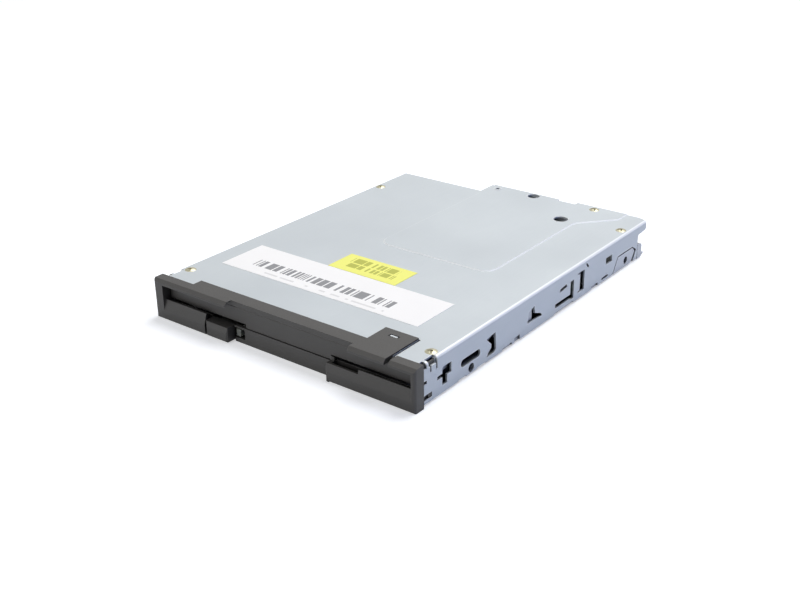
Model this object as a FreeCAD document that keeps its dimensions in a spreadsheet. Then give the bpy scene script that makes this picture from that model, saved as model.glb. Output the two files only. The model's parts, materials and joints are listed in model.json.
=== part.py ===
import FreeCAD, Part
import math
import os
import re

import Sketcher
from FreeCAD import Placement, Rotation, Vector

# Slim 3.5 inch floppy disk drive, in millimetres.
# Every piece is drawn in the drive's own measures: X to the right from the left side of the case,
# Y to the rear from the front edge of the case, Z up from the underside of the case.
# The bodies are then set down with the origin under the middle of the whole drive.

# The driving dimensions. What has the same meaning in two pieces is written here once.
SIZES = {
    # Case
    "chassis_width": 96,  # case, side to side
    "chassis_depth": 126,  # case, front to rear
    "chassis_height": 12,  # case, underside to flat top
    "cover_wall": 0.6,  # sheet of the top cover
    "cover_bend": 1.0,  # outer radius of the fold between top and sides
    "skirt_rise": 0.3,  # lower edge of the cover's sides above the underside
    "base_wall": 0.8,  # sheet of the base frame
    "base_short": 0.8,  # floor of the base ends before the longest part of the cover
    "fold_gap": 0.05,  # between the base's flanges and the cover's sides
    "flange_height": 1.6,  # low flange along both sides of the base

    # Outline of the cover's rear edge, left to right
    "left_part_short": 8.4,  # cover at its left ends before the base, which leaves the connector free
    "tab_left": 34.5,  # left side of the middle part
    "tab_right": 62.2,  # right side of the middle part
    "tab_short": 0.6,  # middle part ends before the base
    "notch_right": 69.3,  # right side of the shallow notch
    "notch_short": 1.8,  # depth of the shallow notch
    "corner_cut_wide": 3.4,  # slanted rear right corner, along the rear
    "corner_cut_deep": 1.0,  # slanted rear right corner, along the side
    "rear_lip": 3.4,  # height of the folded rear lips
    "rear_lip_inset": 8.0,  # rear lip from the right side
    "plateau_rise": 0.3,  # stamped plateau above the flat top
    "plateau_bevel": 0.29,  # slope round the plateau
    "plateau_round": 4.5,  # corner radius of the plateau
    "plateau_left": 35.5,  # left edge of the plateau
    "plateau_right": 78.0,  # right edge of the plateau
    "plateau_front": 57.5,  # front edge of the plateau
    "plateau_turn": 108.3,  # where the right edge turns out
    "plateau_far": 88.4,  # right edge of the plateau at the rear
    "plateau_slant": 119.8,  # where the slanted edge ends
    "hole_small_radius": 2.1,  # hole near the rear edge
    "hole_small_across": 53.4,  # its place
    "hole_small_deep": 122.9,  # its place
    "hole_large_radius": 2.45,  # hole before the slanted edge
    "hole_large_across": 72.5,  # its place
    "hole_large_deep": 108.9,  # its place
    "pip_radius": 0.75,  # pierced pip at the rear
    "pip_rim": 1.35,  # rim of the pip
    "pip_rise": 0.12,  # rim of the pip above the plateau
    "pip_across": 38.9,  # its place
    "pip_deep": 122.1,  # its place

    # Openings in the folded sides: front, rear, low and high edge of each
    "latch_notch_front": 2.7,  # notch through the fold
    "latch_notch_rear": 6.5,  # notch through the fold
    "latch_notch_low": 10.3,  # notch through the fold
    "notch_leg_wide": 0.6,  # slits below the notch
    "notch_leg_low": 8.6,  # slits below the notch
    "clip_front": 0.6,  # slot for the bezel's barb
    "clip_rear": 4.1,  # slot for the bezel's barb
    "clip_low": 1.4,  # slot for the bezel's barb
    "clip_high": 2.9,  # slot for the bezel's barb
    "cross_front": 8.6,  # upright of the cross-shaped opening
    "cross_rear": 10.8,  # upright of the cross-shaped opening
    "cross_low": 2.5,  # upright of the cross-shaped opening
    "cross_high": 7.9,  # upright of the cross-shaped opening
    "cross_arm_low": 4.9,  # arms of the cross-shaped opening
    "cross_arm_front": 6.4,  # front arm
    "cross_arm_high": 6.0,  # front arm
    "cross_arm_rear": 12.7,  # rear arm
    "long_slot_front": 17.0,  # long round-ended slot
    "long_slot_rear": 26.2,  # long round-ended slot
    "long_slot_middle": 4.9,  # long round-ended slot
    "long_slot_radius": 1.15,  # long round-ended slot
    "hook_front": 28.9,  # hook-shaped opening
    "hook_rear": 34.0,  # hook-shaped opening
    "hook_low": 1.7,  # hook-shaped opening
    "hook_high": 7.8,  # hook-shaped opening
    "hook_bar": 2.5,  # hook-shaped opening, width of its upright
    "hook_foot": 1.1,  # hook-shaped opening, height of its foot
    "hook_head": 2.4,  # hook-shaped opening, height of its head
    "hook_slant": 0.4,  # hook-shaped opening, slant of its edges
    "angle_front": 50.3,  # angle-shaped opening
    "angle_rear": 58.4,  # angle-shaped opening
    "angle_low": 3.2,  # angle-shaped opening
    "angle_high": 7.9,  # angle-shaped opening
    "angle_bar": 3.7,  # angle-shaped opening, width of its upright
    "angle_foot": 1.7,  # angle-shaped opening, height of its foot
    "angle_slant": 0.5,  # angle-shaped opening, slant of its edges
    "vent_front": 68.6,  # short slanted slot
    "vent_rear": 72.9,  # short slanted slot
    "vent_low": 6.5,  # short slanted slot
    "vent_high": 7.6,  # short slanted slot
    "vent_slant": 0.5,  # short slanted slot, rise to the rear
    "boot_front": 66.0,  # boot-shaped opening
    "boot_rear": 77.0,  # boot-shaped opening
    "boot_low": 1.8,  # boot-shaped opening
    "boot_high": 7.9,  # boot-shaped opening
    "boot_bar": 2.2,  # boot-shaped opening, width of its upright
    "boot_sole_low": 2.3,  # boot-shaped opening, sole
    "boot_sole_high": 3.7,  # boot-shaped opening, sole
    "pillar_front": 80.6,  # upright opening with feet
    "pillar_rear": 83.4,  # upright opening with feet
    "pillar_low": 2.4,  # upright opening with feet
    "pillar_high": 9.0,  # upright opening with feet
    "pillar_foot": 1.1,  # upright opening, length of its feet
    "tick_front": 84.0,  # short slanted slit
    "tick_low": 8.7,  # short slanted slit
    "tick_long": 2.1,  # short slanted slit
    "tick_wide": 0.55,  # short slanted slit
    "window_front": 97.2,  # square opening
    "window_rear": 101.4,  # square opening
    "window_low": 5.6,  # square opening
    "window_high": 7.9,  # square opening
    "slit_front": 94.9,  # low slit
    "slit_rear": 99.1,  # low slit
    "slit_low": 1.1,  # low slit
    "slit_high": 1.9,  # low slit
    "edge_nick": 1.9,  # depth of the nicks in the front edge
    "upper_nick_low": 10.4,  # upper nick
    "lower_nick_low": 6.1,  # lower nick
    "lower_nick_high": 7.0,  # lower nick
    "side_end_low": 6.2,  # where the right side steps back at the rear
    "side_end_mid": 8.6,  # where the right side steps back at the rear
    "side_end_slope": 0.3,  # slope of the steps
    "side_end_short": 6.7,  # right side below the step ends before the base
    "side_step_short": 1.6,  # right side above the step ends before the base

    "hem_nick_a": 15.9,  # nicks in the lower edge
    "hem_nick_a_long": 3.7,  # its length
    "hem_nick_a_high": 0.7,  # its top
    "hem_nick_b": 24.5,  # nicks in the lower edge
    "hem_nick_b_long": 4.5,  # its length
    "hem_nick_b_high": 0.6,  # its top
    "hem_nick_c": 37.1,  # nicks in the lower edge
    "hem_nick_c_long": 5.1,  # its length
    "hem_nick_c_high": 1.1,  # its top
    "hem_nick_d": 43.4,  # nicks in the lower edge
    "hem_nick_d_long": 3.0,  # its length
    "hem_nick_d_high": 1.9,  # its top
    "hem_nick_e": 65.4,  # nicks in the lower edge
    "hem_nick_e_long": 11.6,  # its length
    "hem_nick_e_high": 0.9,  # its top
    "hem_nick_f": 88.1,  # nicks in the lower edge
    "hem_nick_f_long": 4.3,  # its length
    "hem_nick_f_high": 1.4,  # its top

    # Lug of the base that shows in the side, with the rear mounting hole
    "lug_front": 102.4,  # slit round the lug, lower front
    "lug_rear": 118.6,  # slit round the lug, rear
    "lug_top": 5.7,  # slit round the lug, top
    "lug_slope": 3.0,  # slant of the slit's front and rear
    "lug_slit": 0.45,  # width of the slit
    "lug_toe": 0.5,  # upright start of the slit
    "lug_tail_high": 5.1,  # top of the lug's tail
    "lug_end": 122.5,  # rear end of the lug
    "lug_round": 1.4,  # rounding of the lug's rear end

    # Mounting holes in both sides
    "mount_front": 21.9,  # front pair, from the front edge
    "mount_rear": 111.0,  # rear pair, from the front edge
    "mount_low": 1.9,  # height of the front pair
    "mount_rear_low": 2.5,  # height of the rear pair
    "mount_radius": 1.25,  # M2.5 threaded holes
    "mount_clear": 1.35,  # clearance hole in the cover's side
    "mount_relief": 3.0,  # window in the floor behind each front hole, for the screw's end
    "mount_relief_gap": 0.4,  # that window beyond the hole's sides
    "mount_pad_long": 7.0,  # raised part of the flange at the front pair
    "mount_pad_high": 3.7,  # raised part of the flange at the front pair

    # Cover screws
    "screw_radius": 0.9,  # shank of the cover screws
    "screw_fit": 0.05,  # thread clearance
    "screw_head": 1.75,  # radius of the heads
    "screw_rise": 0.55,  # height of the heads
    "screw_inset": 3.2,  # front left screw from the left side
    "screw_inset_right": 2.8,  # right screws from the right side
    "screw_front": 7.6,  # front screws from the front edge
    "screw_mid": 100.0,  # screw behind the middle of the left side
    "screw_mid_inset": 2.7,  # that screw from the left side
    "screw_rear": 112.0,  # screw near the rear of the right side
    "screw_last_across": 77.3,  # rearmost screw
    "screw_last_deep": 123.2,  # rearmost screw
    "ear_thick": 1.0,  # folded ears that take the screws
    "ear_reach": 2.2,  # ear beyond its screw
    "ear_front": 6.1,  # front edge of the front ears, behind the notch in the fold
    "riser_front": 4.7,  # front edge of the flanges and of the front risers
    "riser_step": 8.3,  # height where the front risers step to the rear
    "riser_clear": 0.2,  # risers beside the cross-shaped opening
    "rear_wall_left": 36.0,  # rear wall of the base
    "rear_wall_right": 90.4,  # rear wall of the base
    "rear_wall_high": 5.2,  # rear wall of the base
    "rear_window_wide": 5.5,  # windows in the rear wall
    "floor_slot_in": 24.0,  # slots in the floor, from the middle
    "floor_slot_out": 35.0,  # slots in the floor, from the middle
    "floor_slot_front": 27.0,  # front pair of the slots
    "floor_slot_rear": 60.0,  # rear pair of the slots
    "floor_slot_short": 6.0,  # front pair, along the depth
    "floor_slot_long": 8.0,  # rear pair, along the depth
    "rod_slot_left": 62.6,  # slot in the floor beside the guide rod
    "rod_slot_front": 101.0,  # slot in the floor beside the guide rod

    # Bezel
    "bezel_side": 0.5,  # bezel beyond the case at each side
    "bezel_top": 0.45,  # bezel above the flat top of the case
    "bezel_under": 0.25,  # bezel below the case
    "bezel_depth": 3.85,  # bezel before the case
    "bezel_wall": 1.4,  # front wall of the bezel
    "bezel_round": 0.9,  # upright corners of the bezel
    "bezel_bevel": 0.9,  # slope along the top front edge
    "bezel_bevel_low": 0.4,  # slope along the lower front edge
    "slot_left": 3.2,  # disk slot
    "bezel_end": 1.3,  # right end of the bezel beside the slot
    "slot_low": 6.15,  # disk slot, upper edge of the lip
    "slot_high": 10.9,  # disk slot, lower edge of the upper band
    "lip_floor": 1.2,  # floor of the hollow behind the lip
    "lip_break": 2.9,  # height where the lip and the button begin to lean back
    "lip_lean": 1.0,  # how far they lean back at the top
    "dust_wall": 0.4,  # upright wall behind the door's lower edge
    "dust_wall_gap": 1.3,  # that wall's top below the door's edge
    "recess_left": 29.5,  # finger recess in the upper band
    "recess_right": 74.5,  # finger recess in the upper band
    "recess_face": 1.3,  # face of the recess before the case
    "recess_low_right": 66.4,  # finger recess in the lip
    "low_lip_right": 77.4,  # low part of the lip beside the recess
    "low_lip_top": 5.0,  # low part of the lip beside the recess
    "recess_end": 1.3,  # wall at the end of the recess
    "recess_round": 0.8,  # rounding where the lip meets the recess
    "band_shell": 0.2,  # wall of the upper band where it is hollow
    "band_hollow": 5.0,  # hollow in the upper band beside the finger recess
    "inner_lip_high": 4.75,  # lip inside the recess
    "inner_lip_wall": 1.2,  # lip inside the recess
    "band_left": 12.7,  # tongue over the cover
    "band_reach": 3.2,  # tongue over the cover
    "latch_left": 75.6,  # snap tongue on the cover
    "latch_right": 86.6,  # snap tongue on the cover
    "latch_reach": 11.1,  # snap tongue on the cover
    "latch_slit": 1.4,  # slit beside the snap tongue
    "tongue_slit": 0.7,  # slit in the cover along the snap tongue
    "latch_bridge": 0.7,  # bridge behind that slit
    "latch_window_left": 79.2,  # window of the snap tongue
    "latch_window_right": 82.3,  # window of the snap tongue
    "latch_window_front": 7.4,  # window of the snap tongue
    "latch_window_rear": 8.7,  # window of the snap tongue
    "latch_hook_gap": 0.35,  # between the cover's hook and the window's ends
    "latch_hook_thick": 0.6,  # cover's hook
    "button_left": 20.4,  # button opening
    "button_right": 30.2,  # button opening
    "lamp_right": 34.2,  # lamp window
    "lamp_low": 1.1,  # lamp window
    "barb_gap": 0.1,  # bezel barb to its slot
    "barb_out": 0.5,  # bezel barb beyond the flange
    "barb_long": 1.5,  # length of the barb
    "clip_extra": 0.3,  # clips thicker than the base's sheet
    "corner_arm": 0.4,  # arms of the bezel inside the folds of the cover

    # Door flap
    "door_gap": 0.4,  # door to the ends of the slot
    "door_front_gap": 0.25,  # door to the wall of the finger recess
    "door_face": 1.0,  # face of the door before the case
    "door_thick": 1.0,  # door
    "door_axis_drop": 0.6,  # door axis below the upper band
    "door_left_low": 6.1,  # door edge at the left
    "door_mid_low": 4.95,  # door edge in the middle
    "door_right_low": 6.4,  # door edge at the right
    "door_mid_left": 34.6,  # middle part of the door
    "door_mid_right": 66.4,  # middle part of the door
    "door_pin_radius": 0.42,  # pins at both ends of the door
    "door_pin_reach": 0.7,  # pins beyond the slot
    "pin_clearance": 0.05,  # running clearance round small pins
    "pin_seat_play": 0.12,  # door pins at their ends
    "door_spring_left": 5.0,  # notch for the door's spring
    "door_spring_wide": 3.0,  # notch for the door's spring
    "door_core_radius": 0.28,  # wire core through that notch
    "door_spring_radius": 0.47,  # door spring, middle of the wire
    "door_spring_wire": 0.13,  # door spring, wire radius
    "door_spring_rise": 0.72,  # door spring, pitch
    "door_spring_turns": 3,  # door spring, count of turns
    "door_spring_leg": 0.6,  # straight ends of the door spring

    # Disk and its holder
    "disk_middle": 48.6,  # middle of the disk, from the left side
    "disk_width": 90,  # disk shell
    "disk_thick": 3.3,  # disk shell
    "disk_raised": 6.3,  # underside of the disk as it slides in
    "disk_drop": 2.0,  # how far the holder lowers the disk
    "disk_play_side": 0.2,  # between the disk and the holder's sides
    "disk_play_below": 0.35,  # between the disk and the holder's lips
    "disk_play_above": 0.55,  # between the disk and the holder's top
    "holder_wall": 0.5,  # sheet of the holder
    "holder_lip": 3.2,  # width of the lips that carry the disk
    "holder_front": 10.6,  # front edge of the holder
    "holder_rear": 92.0,  # rear edge of the holder
    "head_window_wide": 15.0,  # window over the heads
    "head_window_front": 66.0,  # window over the heads
    "spindle_window": 13.5,  # radius of the window over the spindle
    "holder_spring_wide": 5.0,  # pressed tongues that hold the disk down
    "holder_spring_long": 17.0,  # pressed tongues that hold the disk down
    "holder_spring_front": 26.0,  # pressed tongues that hold the disk down
    "holder_spring_out": 30.0,  # pressed tongues, from the middle
    "holder_spring_slit": 0.8,  # slit round the tongues
    "post_radius": 1.2,  # guide posts of the holder
    "post_left": 30.0,  # left guide post
    "post_right": 86.0,  # right guide post
    "post_left_deep": 102.0,  # left guide post
    "post_right_deep": 100.0,  # right guide post
    "post_margin": 2.4,  # holder tongue round the post

    # Eject slider
    "slider_travel": 4.5,  # button and slider, out and in
    "slider_thick": 0.4,  # top plate of the slider
    "slider_wall": 0.5,  # side ears of the slider
    "slider_gap": 0.2,  # between holder and slider plate
    "slider_side_gap": 0.3,  # between holder and slider ears
    "slider_strip": 6.9,  # width of the side strips
    "slider_front": 15.2,  # front edge of the slider plate
    "slider_bridge": 7.0,  # front bridge of the slider plate
    "slider_rear": 95.0,  # rear end of the side strips
    "ear_low": 5.6,  # lower edge of the ears
    "ear_front_end": 29.0,  # front ears, rear edge
    "ear_rear_start": 85.5,  # rear ears, front edge
    "pin_front": 22.0,  # front pins of the holder
    "pin_rear": 88.0,  # rear pins of the holder
    "pin_height": 8.6,  # pins of the holder, raised
    "pin_radius": 0.8,  # pins of the holder
    "pin_slot_gap": 0.1,  # pin to its sloping slot
    "arm_front": 5.2,  # cross arm to the button
    "arm_rear": 10.2,  # cross arm to the button
    "arm_low": 1.0,  # cross arm to the button
    "arm_thick": 0.5,  # cross arm to the button
    "spring_foot_front": 50.0,  # foot that holds the return spring
    "spring_foot_long": 2.0,  # foot that holds the return spring
    "spring_foot_low": 2.6,  # foot that holds the return spring
    "spring_foot_high": 3.2,  # foot that holds the return spring
    "spring_foot_reach": 8.6,  # foot, from the left side
    "spring_line": 7.3,  # return spring, from the left side
    "spring_axis": 2.2,  # return spring, height
    "spring_hook_deep": 24.0,  # hook of the return spring on the base
    "spring_radius": 0.75,  # return spring, middle of the wire
    "spring_wire": 0.15,  # return spring, wire radius
    "spring_turns": 14,  # return spring, count of turns
    "spring_neck": 1.1,  # straight wire between each eye and the first turn
    "spring_peg": 0.5,  # pegs that the springs' eyes hook over
    "spring_peg_gap": 0.07,  # between a peg and its eye
    "spring_peg_past": 0.5,  # pegs beyond the eyes

    # Eject button
    "button_gap": 0.4,  # button to its opening
    "button_proud": 0.4,  # button before the bezel
    "button_low": 0.1,  # button above the underside of the case
    "button_high": 4.55,  # top of the button
    "button_back": 0.35,  # back of the button's head before the case
    "button_bevel": 0.9,  # slopes beside the button's face
    "stem_inset": 1.2,  # stem narrower than the head, each side
    "stem_high": 3.6,  # top of the stem
    "rivet_radius": 0.8,  # rivet between the button and the slider
    "rivet_rise": 0.4,  # head of the button's rivet

    # Lamp
    "lens_wide": 1.6,  # light pipe
    "lens_inset": 0.5,  # light pipe from the recess end
    "lens_high": 3.7,  # light pipe
    "lens_low": 1.6,  # light pipe
    "lens_rear": 6.0,  # light pipe
    "lens_back": 0.2,  # front of the light pipe behind the recess face
    "lens_foot": 2.5,  # foot of the light pipe, along the depth
    "lamp_gap": 0.3,  # lamp behind the light pipe
    "lamp_board_rear": 13.0,  # small lamp board
    "lamp_board_wide": 9.0,  # small lamp board
    "board_thick": 0.8,  # circuit boards

    # Spindle motor
    "spindle_deep": 51.0,  # spindle axis from the front edge
    "shaft_radius": 2.0,  # spindle shaft
    "shaft_top": 5.75,  # top of the shaft
    "shaft_foot": 0.95,  # lower end of the shaft
    "shaft_fit": 0.03,  # shaft in its sleeve
    "sleeve_radius": 4.2,  # bearing sleeve
    "sleeve_top": 3.3,  # bearing sleeve
    "sleeve_foot": 0.4,  # bearing sleeve
    "sleeve_shoulder": 5.5,  # shoulder that carries the stator
    "motor_board_radius": 21.5,  # motor base board
    "motor_board_tail": 15.0,  # tail of the motor base board
    "motor_tail_half": 7.0,  # half the width of the tail
    "motor_plug_half": 5.0,  # half the width of the plug on the tail
    "motor_opening": 14.0,  # opening in the base under the motor
    "stator_low": 2.05,  # stator core
    "stator_thick": 0.8,  # stator core
    "stator_ring": 7.2,  # ring of the stator core
    "stator_tooth": 2.0,  # teeth of the stator core
    "stator_tip": 15.8,  # tip radius of the teeth
    "stator_tip_wide": 6.6,  # width of the tips
    "stator_tip_gap": 0.3,  # tips beyond the coils
    "stator_count": 9,  # count of teeth and coils
    "coil_start": 8.6,  # coils, nearest to the axis
    "coil_end": 13.6,  # coils, farthest from the axis
    "coil_wide": 4.0,  # coils, outer width
    "coil_high": 1.5,  # coils, outer height
    "coil_gap": 0.05,  # coil to its tooth
    "rotor_radius": 19.0,  # rotor cup
    "rotor_wall": 0.6,  # rotor cup
    "rotor_low": 1.9,  # lower edge of the rotor cup
    "rotor_top": 4.1,  # top of the rotor cup
    "rotor_hole_in": 4.2,  # holes in the rotor from its edge
    "rotor_hole_radius": 1.3,  # holes in the rotor
    "rotor_holes": 6,  # count of the holes in the rotor
    "rotor_plate": 0.5,  # top plate of the rotor cup
    "magnet_wall": 1.8,  # rotor magnet
    "hub_radius": 12.0,  # spindle hub
    "hub_thick": 0.6,  # spindle hub
    "chuck_inner": 4.5,  # chuck magnet
    "chuck_outer": 8.8,  # chuck magnet
    "chuck_thick": 0.3,  # chuck magnet
    "drive_pin_radius": 0.9,  # drive pin
    "drive_pin_out": 10.3,  # drive pin from the axis
    "drive_pin_high": 0.8,  # drive pin above the hub

    # Heads
    "track_first": 39.5,  # outermost track from the spindle
    "carriage_low": 2.5,  # lower head arm
    "carriage_thick": 1.3,  # lower head arm
    "carriage_arm_wide": 6.2,  # lower head arm
    "block_front": 112.8,  # carriage block
    "block_rear": 120.8,  # carriage block
    "block_left": 38.5,  # carriage block
    "block_right": 57.5,  # carriage block
    "block_low": 1.8,  # carriage block
    "block_high": 6.2,  # carriage block
    "head_nose": 4.0,  # arm before the heads
    "head_size": 4.0,  # heads, across and along
    "head_lower_top": 5.75,  # top of the lower head
    "head_gap": 0.2,  # between the heads when lowered
    "rod_across": 42.5,  # guide rod
    "rod_height": 4.2,  # guide rod
    "rod_radius": 1.25,  # guide rod
    "rod_front": 95.6,  # guide rod
    "rod_rear": 123.6,  # guide rod
    "clamp_long": 2.0,  # rod clamps, along the rod
    "clamp_wide": 4.4,  # rod clamps, across the rod
    "clamp_high": 6.0,  # top of the rod clamps
    "flag_reach": 3.0,  # flag for the track sensor, beside the carriage
    "flag_wide": 1.2,  # flag, along the depth
    "flag_thick": 0.5,  # flag, sheet
    "arm_axis_deep": 119.0,  # hinge of the upper head arm
    "arm_axis_high": 7.0,  # hinge of the upper head arm
    "arm_pin_radius": 0.5,  # hinge pin of the upper head arm
    "arm_barrel": 0.72,  # barrel of the upper head arm
    "arm_wide": 8.0,  # upper head arm
    "arm_plate": 0.6,  # upper head arm
    "arm_rib": 0.5,  # ribs along the upper arm
    "arm_leaf_wide": 3.0,  # leaf spring on the upper head arm
    "arm_lift": 7.5,  # degrees that the arm is lifted at rest
    "arm_ear": 1.0,  # ears that hold the hinge pin
    "arm_ear_half": 1.3,  # hinge ears, half along the depth
    "arm_ear_rise": 0.75,  # ears above the hinge axis
    "arm_ear_gap": 0.2,  # ears to the barrel

    # Stepper motor and lead screw
    "screw_across": 63.0,  # lead screw
    "screw_height": 5.9,  # lead screw
    "lead_radius": 1.5,  # lead screw
    "lead_root": 1.1,  # lead screw at the bottom of its groove
    "lead_pitch": 3.0,  # lead screw, travel for each turn
    "lead_front": 97.0,  # lead screw, threaded part
    "lead_rear": 114.4,  # lead screw, threaded part
    "journal_radius": 0.6,  # front journal of the lead screw
    "journal_long": 1.0,  # front journal of the lead screw
    "stepper_radius": 4.9,  # stepper motor
    "stepper_front": 115.4,  # stepper motor
    "stepper_rear": 124.0,  # stepper motor
    "bracket_wall": 0.8,  # stepper bracket
    "bracket_wide": 7.4,  # stepper bracket
    "bracket_high": 8.6,  # top of the bracket's plates
    "bracket_offset": 0.2,  # bracket to the right of the lead screw
    "bracket_screw_in": 4.0,  # bracket screws from the ends of the lead screw
    "lead_play": 0.3,  # rear bearing round the lead screw
    "follower_middle": 113.5,  # screw follower on the carriage
    "follower_wide": 0.5,  # screw follower on the carriage
    "follower_gap": 0.15,  # follower to the screw's root
    "follower_thick": 0.4,  # screw follower on the carriage
    "follower_drop": 2.4,  # follower below the lead screw
    "follower_rear": 5.0,  # follower behind its middle
    "groove_radius": 0.5,  # round groove of the lead screw

    # Shutter lever
    "lever_across": 9.0,  # lever pivot
    "lever_deep": 98.0,  # lever pivot
    "lever_post": 1.5,  # radius of the pivot post
    "lever_collar": 2.4,  # collar under the lever
    "lever_post_tip": 0.6,  # post above the lever
    "lever_low": 6.6,  # underside of the lever
    "lever_thick": 0.7,  # lever
    "lever_hub": 3.2,  # radius of the lever's hub
    "lever_long": 30.5,  # lever, pivot to tip
    "lever_wide": 3.4,  # lever arm
    "lever_tip": 2.2,  # radius of the lever's tip
    "lever_rest": 66.8,  # degrees, arm before the pivot's cross line at rest
    "lever_spring_radius": 2.85,  # lever spring, middle of the wire
    "lever_spring_wire": 0.2,  # lever spring, wire radius
    "lever_spring_low": 2.9,  # lever spring, lowest turn
    "lever_spring_rise": 0.9,  # lever spring, pitch
    "lever_spring_turns": 3,  # lever spring, count of turns
    "lever_spring_leg": 2.0,  # straight ends of the lever spring

    # Electronics
    "board_low": 1.4,  # main board above the underside
    "board_left": 2.4,  # main board
    "board_front": 74.5,  # main board
    "board_short": 1.8,  # main board ends before the base
    "board_bay_left": 37.8,  # bay of the board for carriage and stepper
    "board_bay_right": 68.4,  # bay of the board for carriage and stepper
    "board_bay_front": 95.0,  # bay of the board for carriage and stepper
    "board_screw_left": 13.6,  # first board screw from the left edge
    "board_screw_right": 11.6,  # second board screw from the right edge
    "board_screw_bay": 10.3,  # third board screw from the bay
    "board_screw_corner": 5.1,  # fourth board screw from the right edge
    "board_screw_deep": 4.0,  # first two board screws from the front edge
    "board_screw_rear": 10.0,  # third board screw from the rear edge
    "board_screw_low": 6.0,  # fourth board screw from the rear edge
    "board_hole_play": 0.3,  # openings of the board round what passes through
    "connector_left": 4.0,  # ribbon connector
    "connector_right": 32.0,  # ribbon connector
    "connector_front": 119.8,  # ribbon connector
    "connector_high": 5.0,  # top of the ribbon connector
    "connector_wall": 1.5,  # walls of the ribbon connector beside its mouth
    "connector_mouth": 3.4,  # mouth of the ribbon connector, along the depth
    "contact_gap": 0.9,  # opening of the mouth and its height above the board
    "connector_bar": 2.2,  # rear edge of the connector's latch bar
    "controller_left": 71.6,  # largest chip
    "controller_front": 99.0,  # largest chip
    "controller_size": 11.0,  # largest chip, across
    "controller_long": 11.0,  # largest chip, along the depth
    "driver_left": 14.0,  # motor driver chip
    "driver_front": 106.0,  # motor driver chip
    "driver_size": 10.0,  # motor driver chip, across
    "driver_long": 8.0,  # motor driver chip, along the depth
    "logic_left": 21.0,  # small chip
    "logic_front": 81.5,  # small chip
    "logic_size": 7.0,  # small chip, across
    "logic_long": 7.0,  # small chip, along the depth
    "part_long": 1.6,  # small parts on the board
    "part_wide": 0.8,  # small parts on the board
    "part_high": 0.7,  # small parts on the board
    "sensor_half": 1.9,  # track sensor, half its width
    "sensor_long": 2.8,  # track sensor, along the depth
    "sensor_gap": 1.3,  # gap of the track sensor
    "sensor_drop": 0.8,  # track sensor below the carriage's top
    "row_pitch": 3.0,  # between small parts of a row
    "front_row_left": 62.0,  # row of small parts at the front
    "front_row_deep": 84.5,  # row of small parts at the front
    "left_row_across": 15.0,  # row of small parts at the left
    "left_row_front": 92.0,  # row of small parts at the left
    "chip_high": 1.2,  # height of the chips
    "standoff_radius": 2.0,  # pads under the main board
    "small_screw": 0.7,  # shank of the board screws
    "small_head": 1.5,  # head of the board screws
    "small_rise": 0.5,  # head of the board screws
    "flex_thick": 0.15,  # flexible circuits
    "flex_gap": 0.2,  # outer face of the head's flexible circuit
    "head_flex_wide": 6.0,  # flexible circuit of the heads
    "tiny_screw": 0.5,  # shank of the motor and bracket screws
    "tiny_head": 1.0,  # head of the motor and bracket screws
    "tiny_rise": 0.4,  # head of the motor and bracket screws
    "screw_short": 0.2,  # shanks end above the underside
    "motor_screw_out": 20.35,  # motor screws from the spindle
    "switch_across": 89.0,  # disk switches
    "switch_deep": 15.0,  # disk switches
    "switch_pitch": 6.0,  # between the two switches
    "switch_size": 4.8,  # case of a switch
    "switch_high": 3.1,  # top of the switches
    "plunger_radius": 0.8,  # plungers of the switches
    "plunger_travel": 0.8,  # plungers, up and down
    "plunger_seat": 0.4,  # bores of the plungers into the switch's foot
    "label_left": 7.2,  # white label
    "label_right": 81.9,  # white label
    "label_front": 16.8,  # white label
    "label_rear": 34.1,  # white label
    "label_thick": 0.08,  # labels
    "tag_left": 34.8,  # yellow label
    "tag_right": 60.4,  # yellow label
    "tag_front": 34.3,  # yellow label
    "tag_rear": 45.5,  # yellow label
}

# Dimensions that follow from the ones above, as texts that FreeCAD works out
PLACES = {
    "slot_right": "chassis_width + bezel_side - bezel_end",
    "lug_wall": "lug_top - 2 * lug_slit",
    "lug_knee": "lug_top - lug_slope / 1.7",
    "left_part_depth": "chassis_depth - left_part_short",
    "tab_depth": "chassis_depth - tab_short",
    "notch_depth": "chassis_depth - notch_short",
    "side_end_depth": "chassis_depth - side_end_short",
    "side_step_depth": "chassis_depth - side_step_short",
    "board_right": "chassis_width - board_left",
    "board_rear": "chassis_depth - board_short",
}

doc = FreeCAD.newDocument("FloppyDrive")
sheet = doc.addObject("Spreadsheet::Sheet", "Sizes")
nodes = {}
for row, (name, value) in enumerate(SIZES.items(), 1):
    sheet.set(f"A{row}", name)
    sheet.set(f"B{row}", str(value))
    sheet.setAlias(f"B{row}", name)
doc.recompute()

# Places that several pieces share, worked out from the driving dimensions
COVER_UNDER = "(chassis_height - cover_wall)"
PLATEAU_TOP = "(chassis_height + plateau_rise)"
PLATEAU_UNDER = "(chassis_height + plateau_rise - cover_wall)"
BASE_LEFT = "(cover_wall + fold_gap)"
BASE_RIGHT = "(chassis_width - cover_wall - fold_gap)"
FLANGE_LEFT = "(cover_wall + fold_gap + base_wall)"
FLANGE_RIGHT = "(chassis_width - cover_wall - fold_gap - base_wall)"
BASE_REAR = "(chassis_depth - base_short)"
BEZEL_FRONT = "(-bezel_depth)"
BEZEL_TOP = "(chassis_height + bezel_top)"
DOOR_AXIS_Y = "(door_thick / 2 - door_face)"
DOOR_AXIS_Z = "(slot_high - door_axis_drop)"
HOLDER_FLOOR = "(disk_raised - disk_play_below)"
HOLDER_CEILING = "(disk_raised + disk_thick + disk_play_above)"
HOLDER_TOP = "(disk_raised + disk_thick + disk_play_above + holder_wall)"
HOLDER_HALF = "(disk_width / 2 + disk_play_side + holder_wall)"
SLIDER_LOW = "(disk_raised + disk_thick + disk_play_above + holder_wall + slider_gap)"
SLIDER_TOP = "(disk_raised + disk_thick + disk_play_above + holder_wall + slider_gap + slider_thick)"
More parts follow.
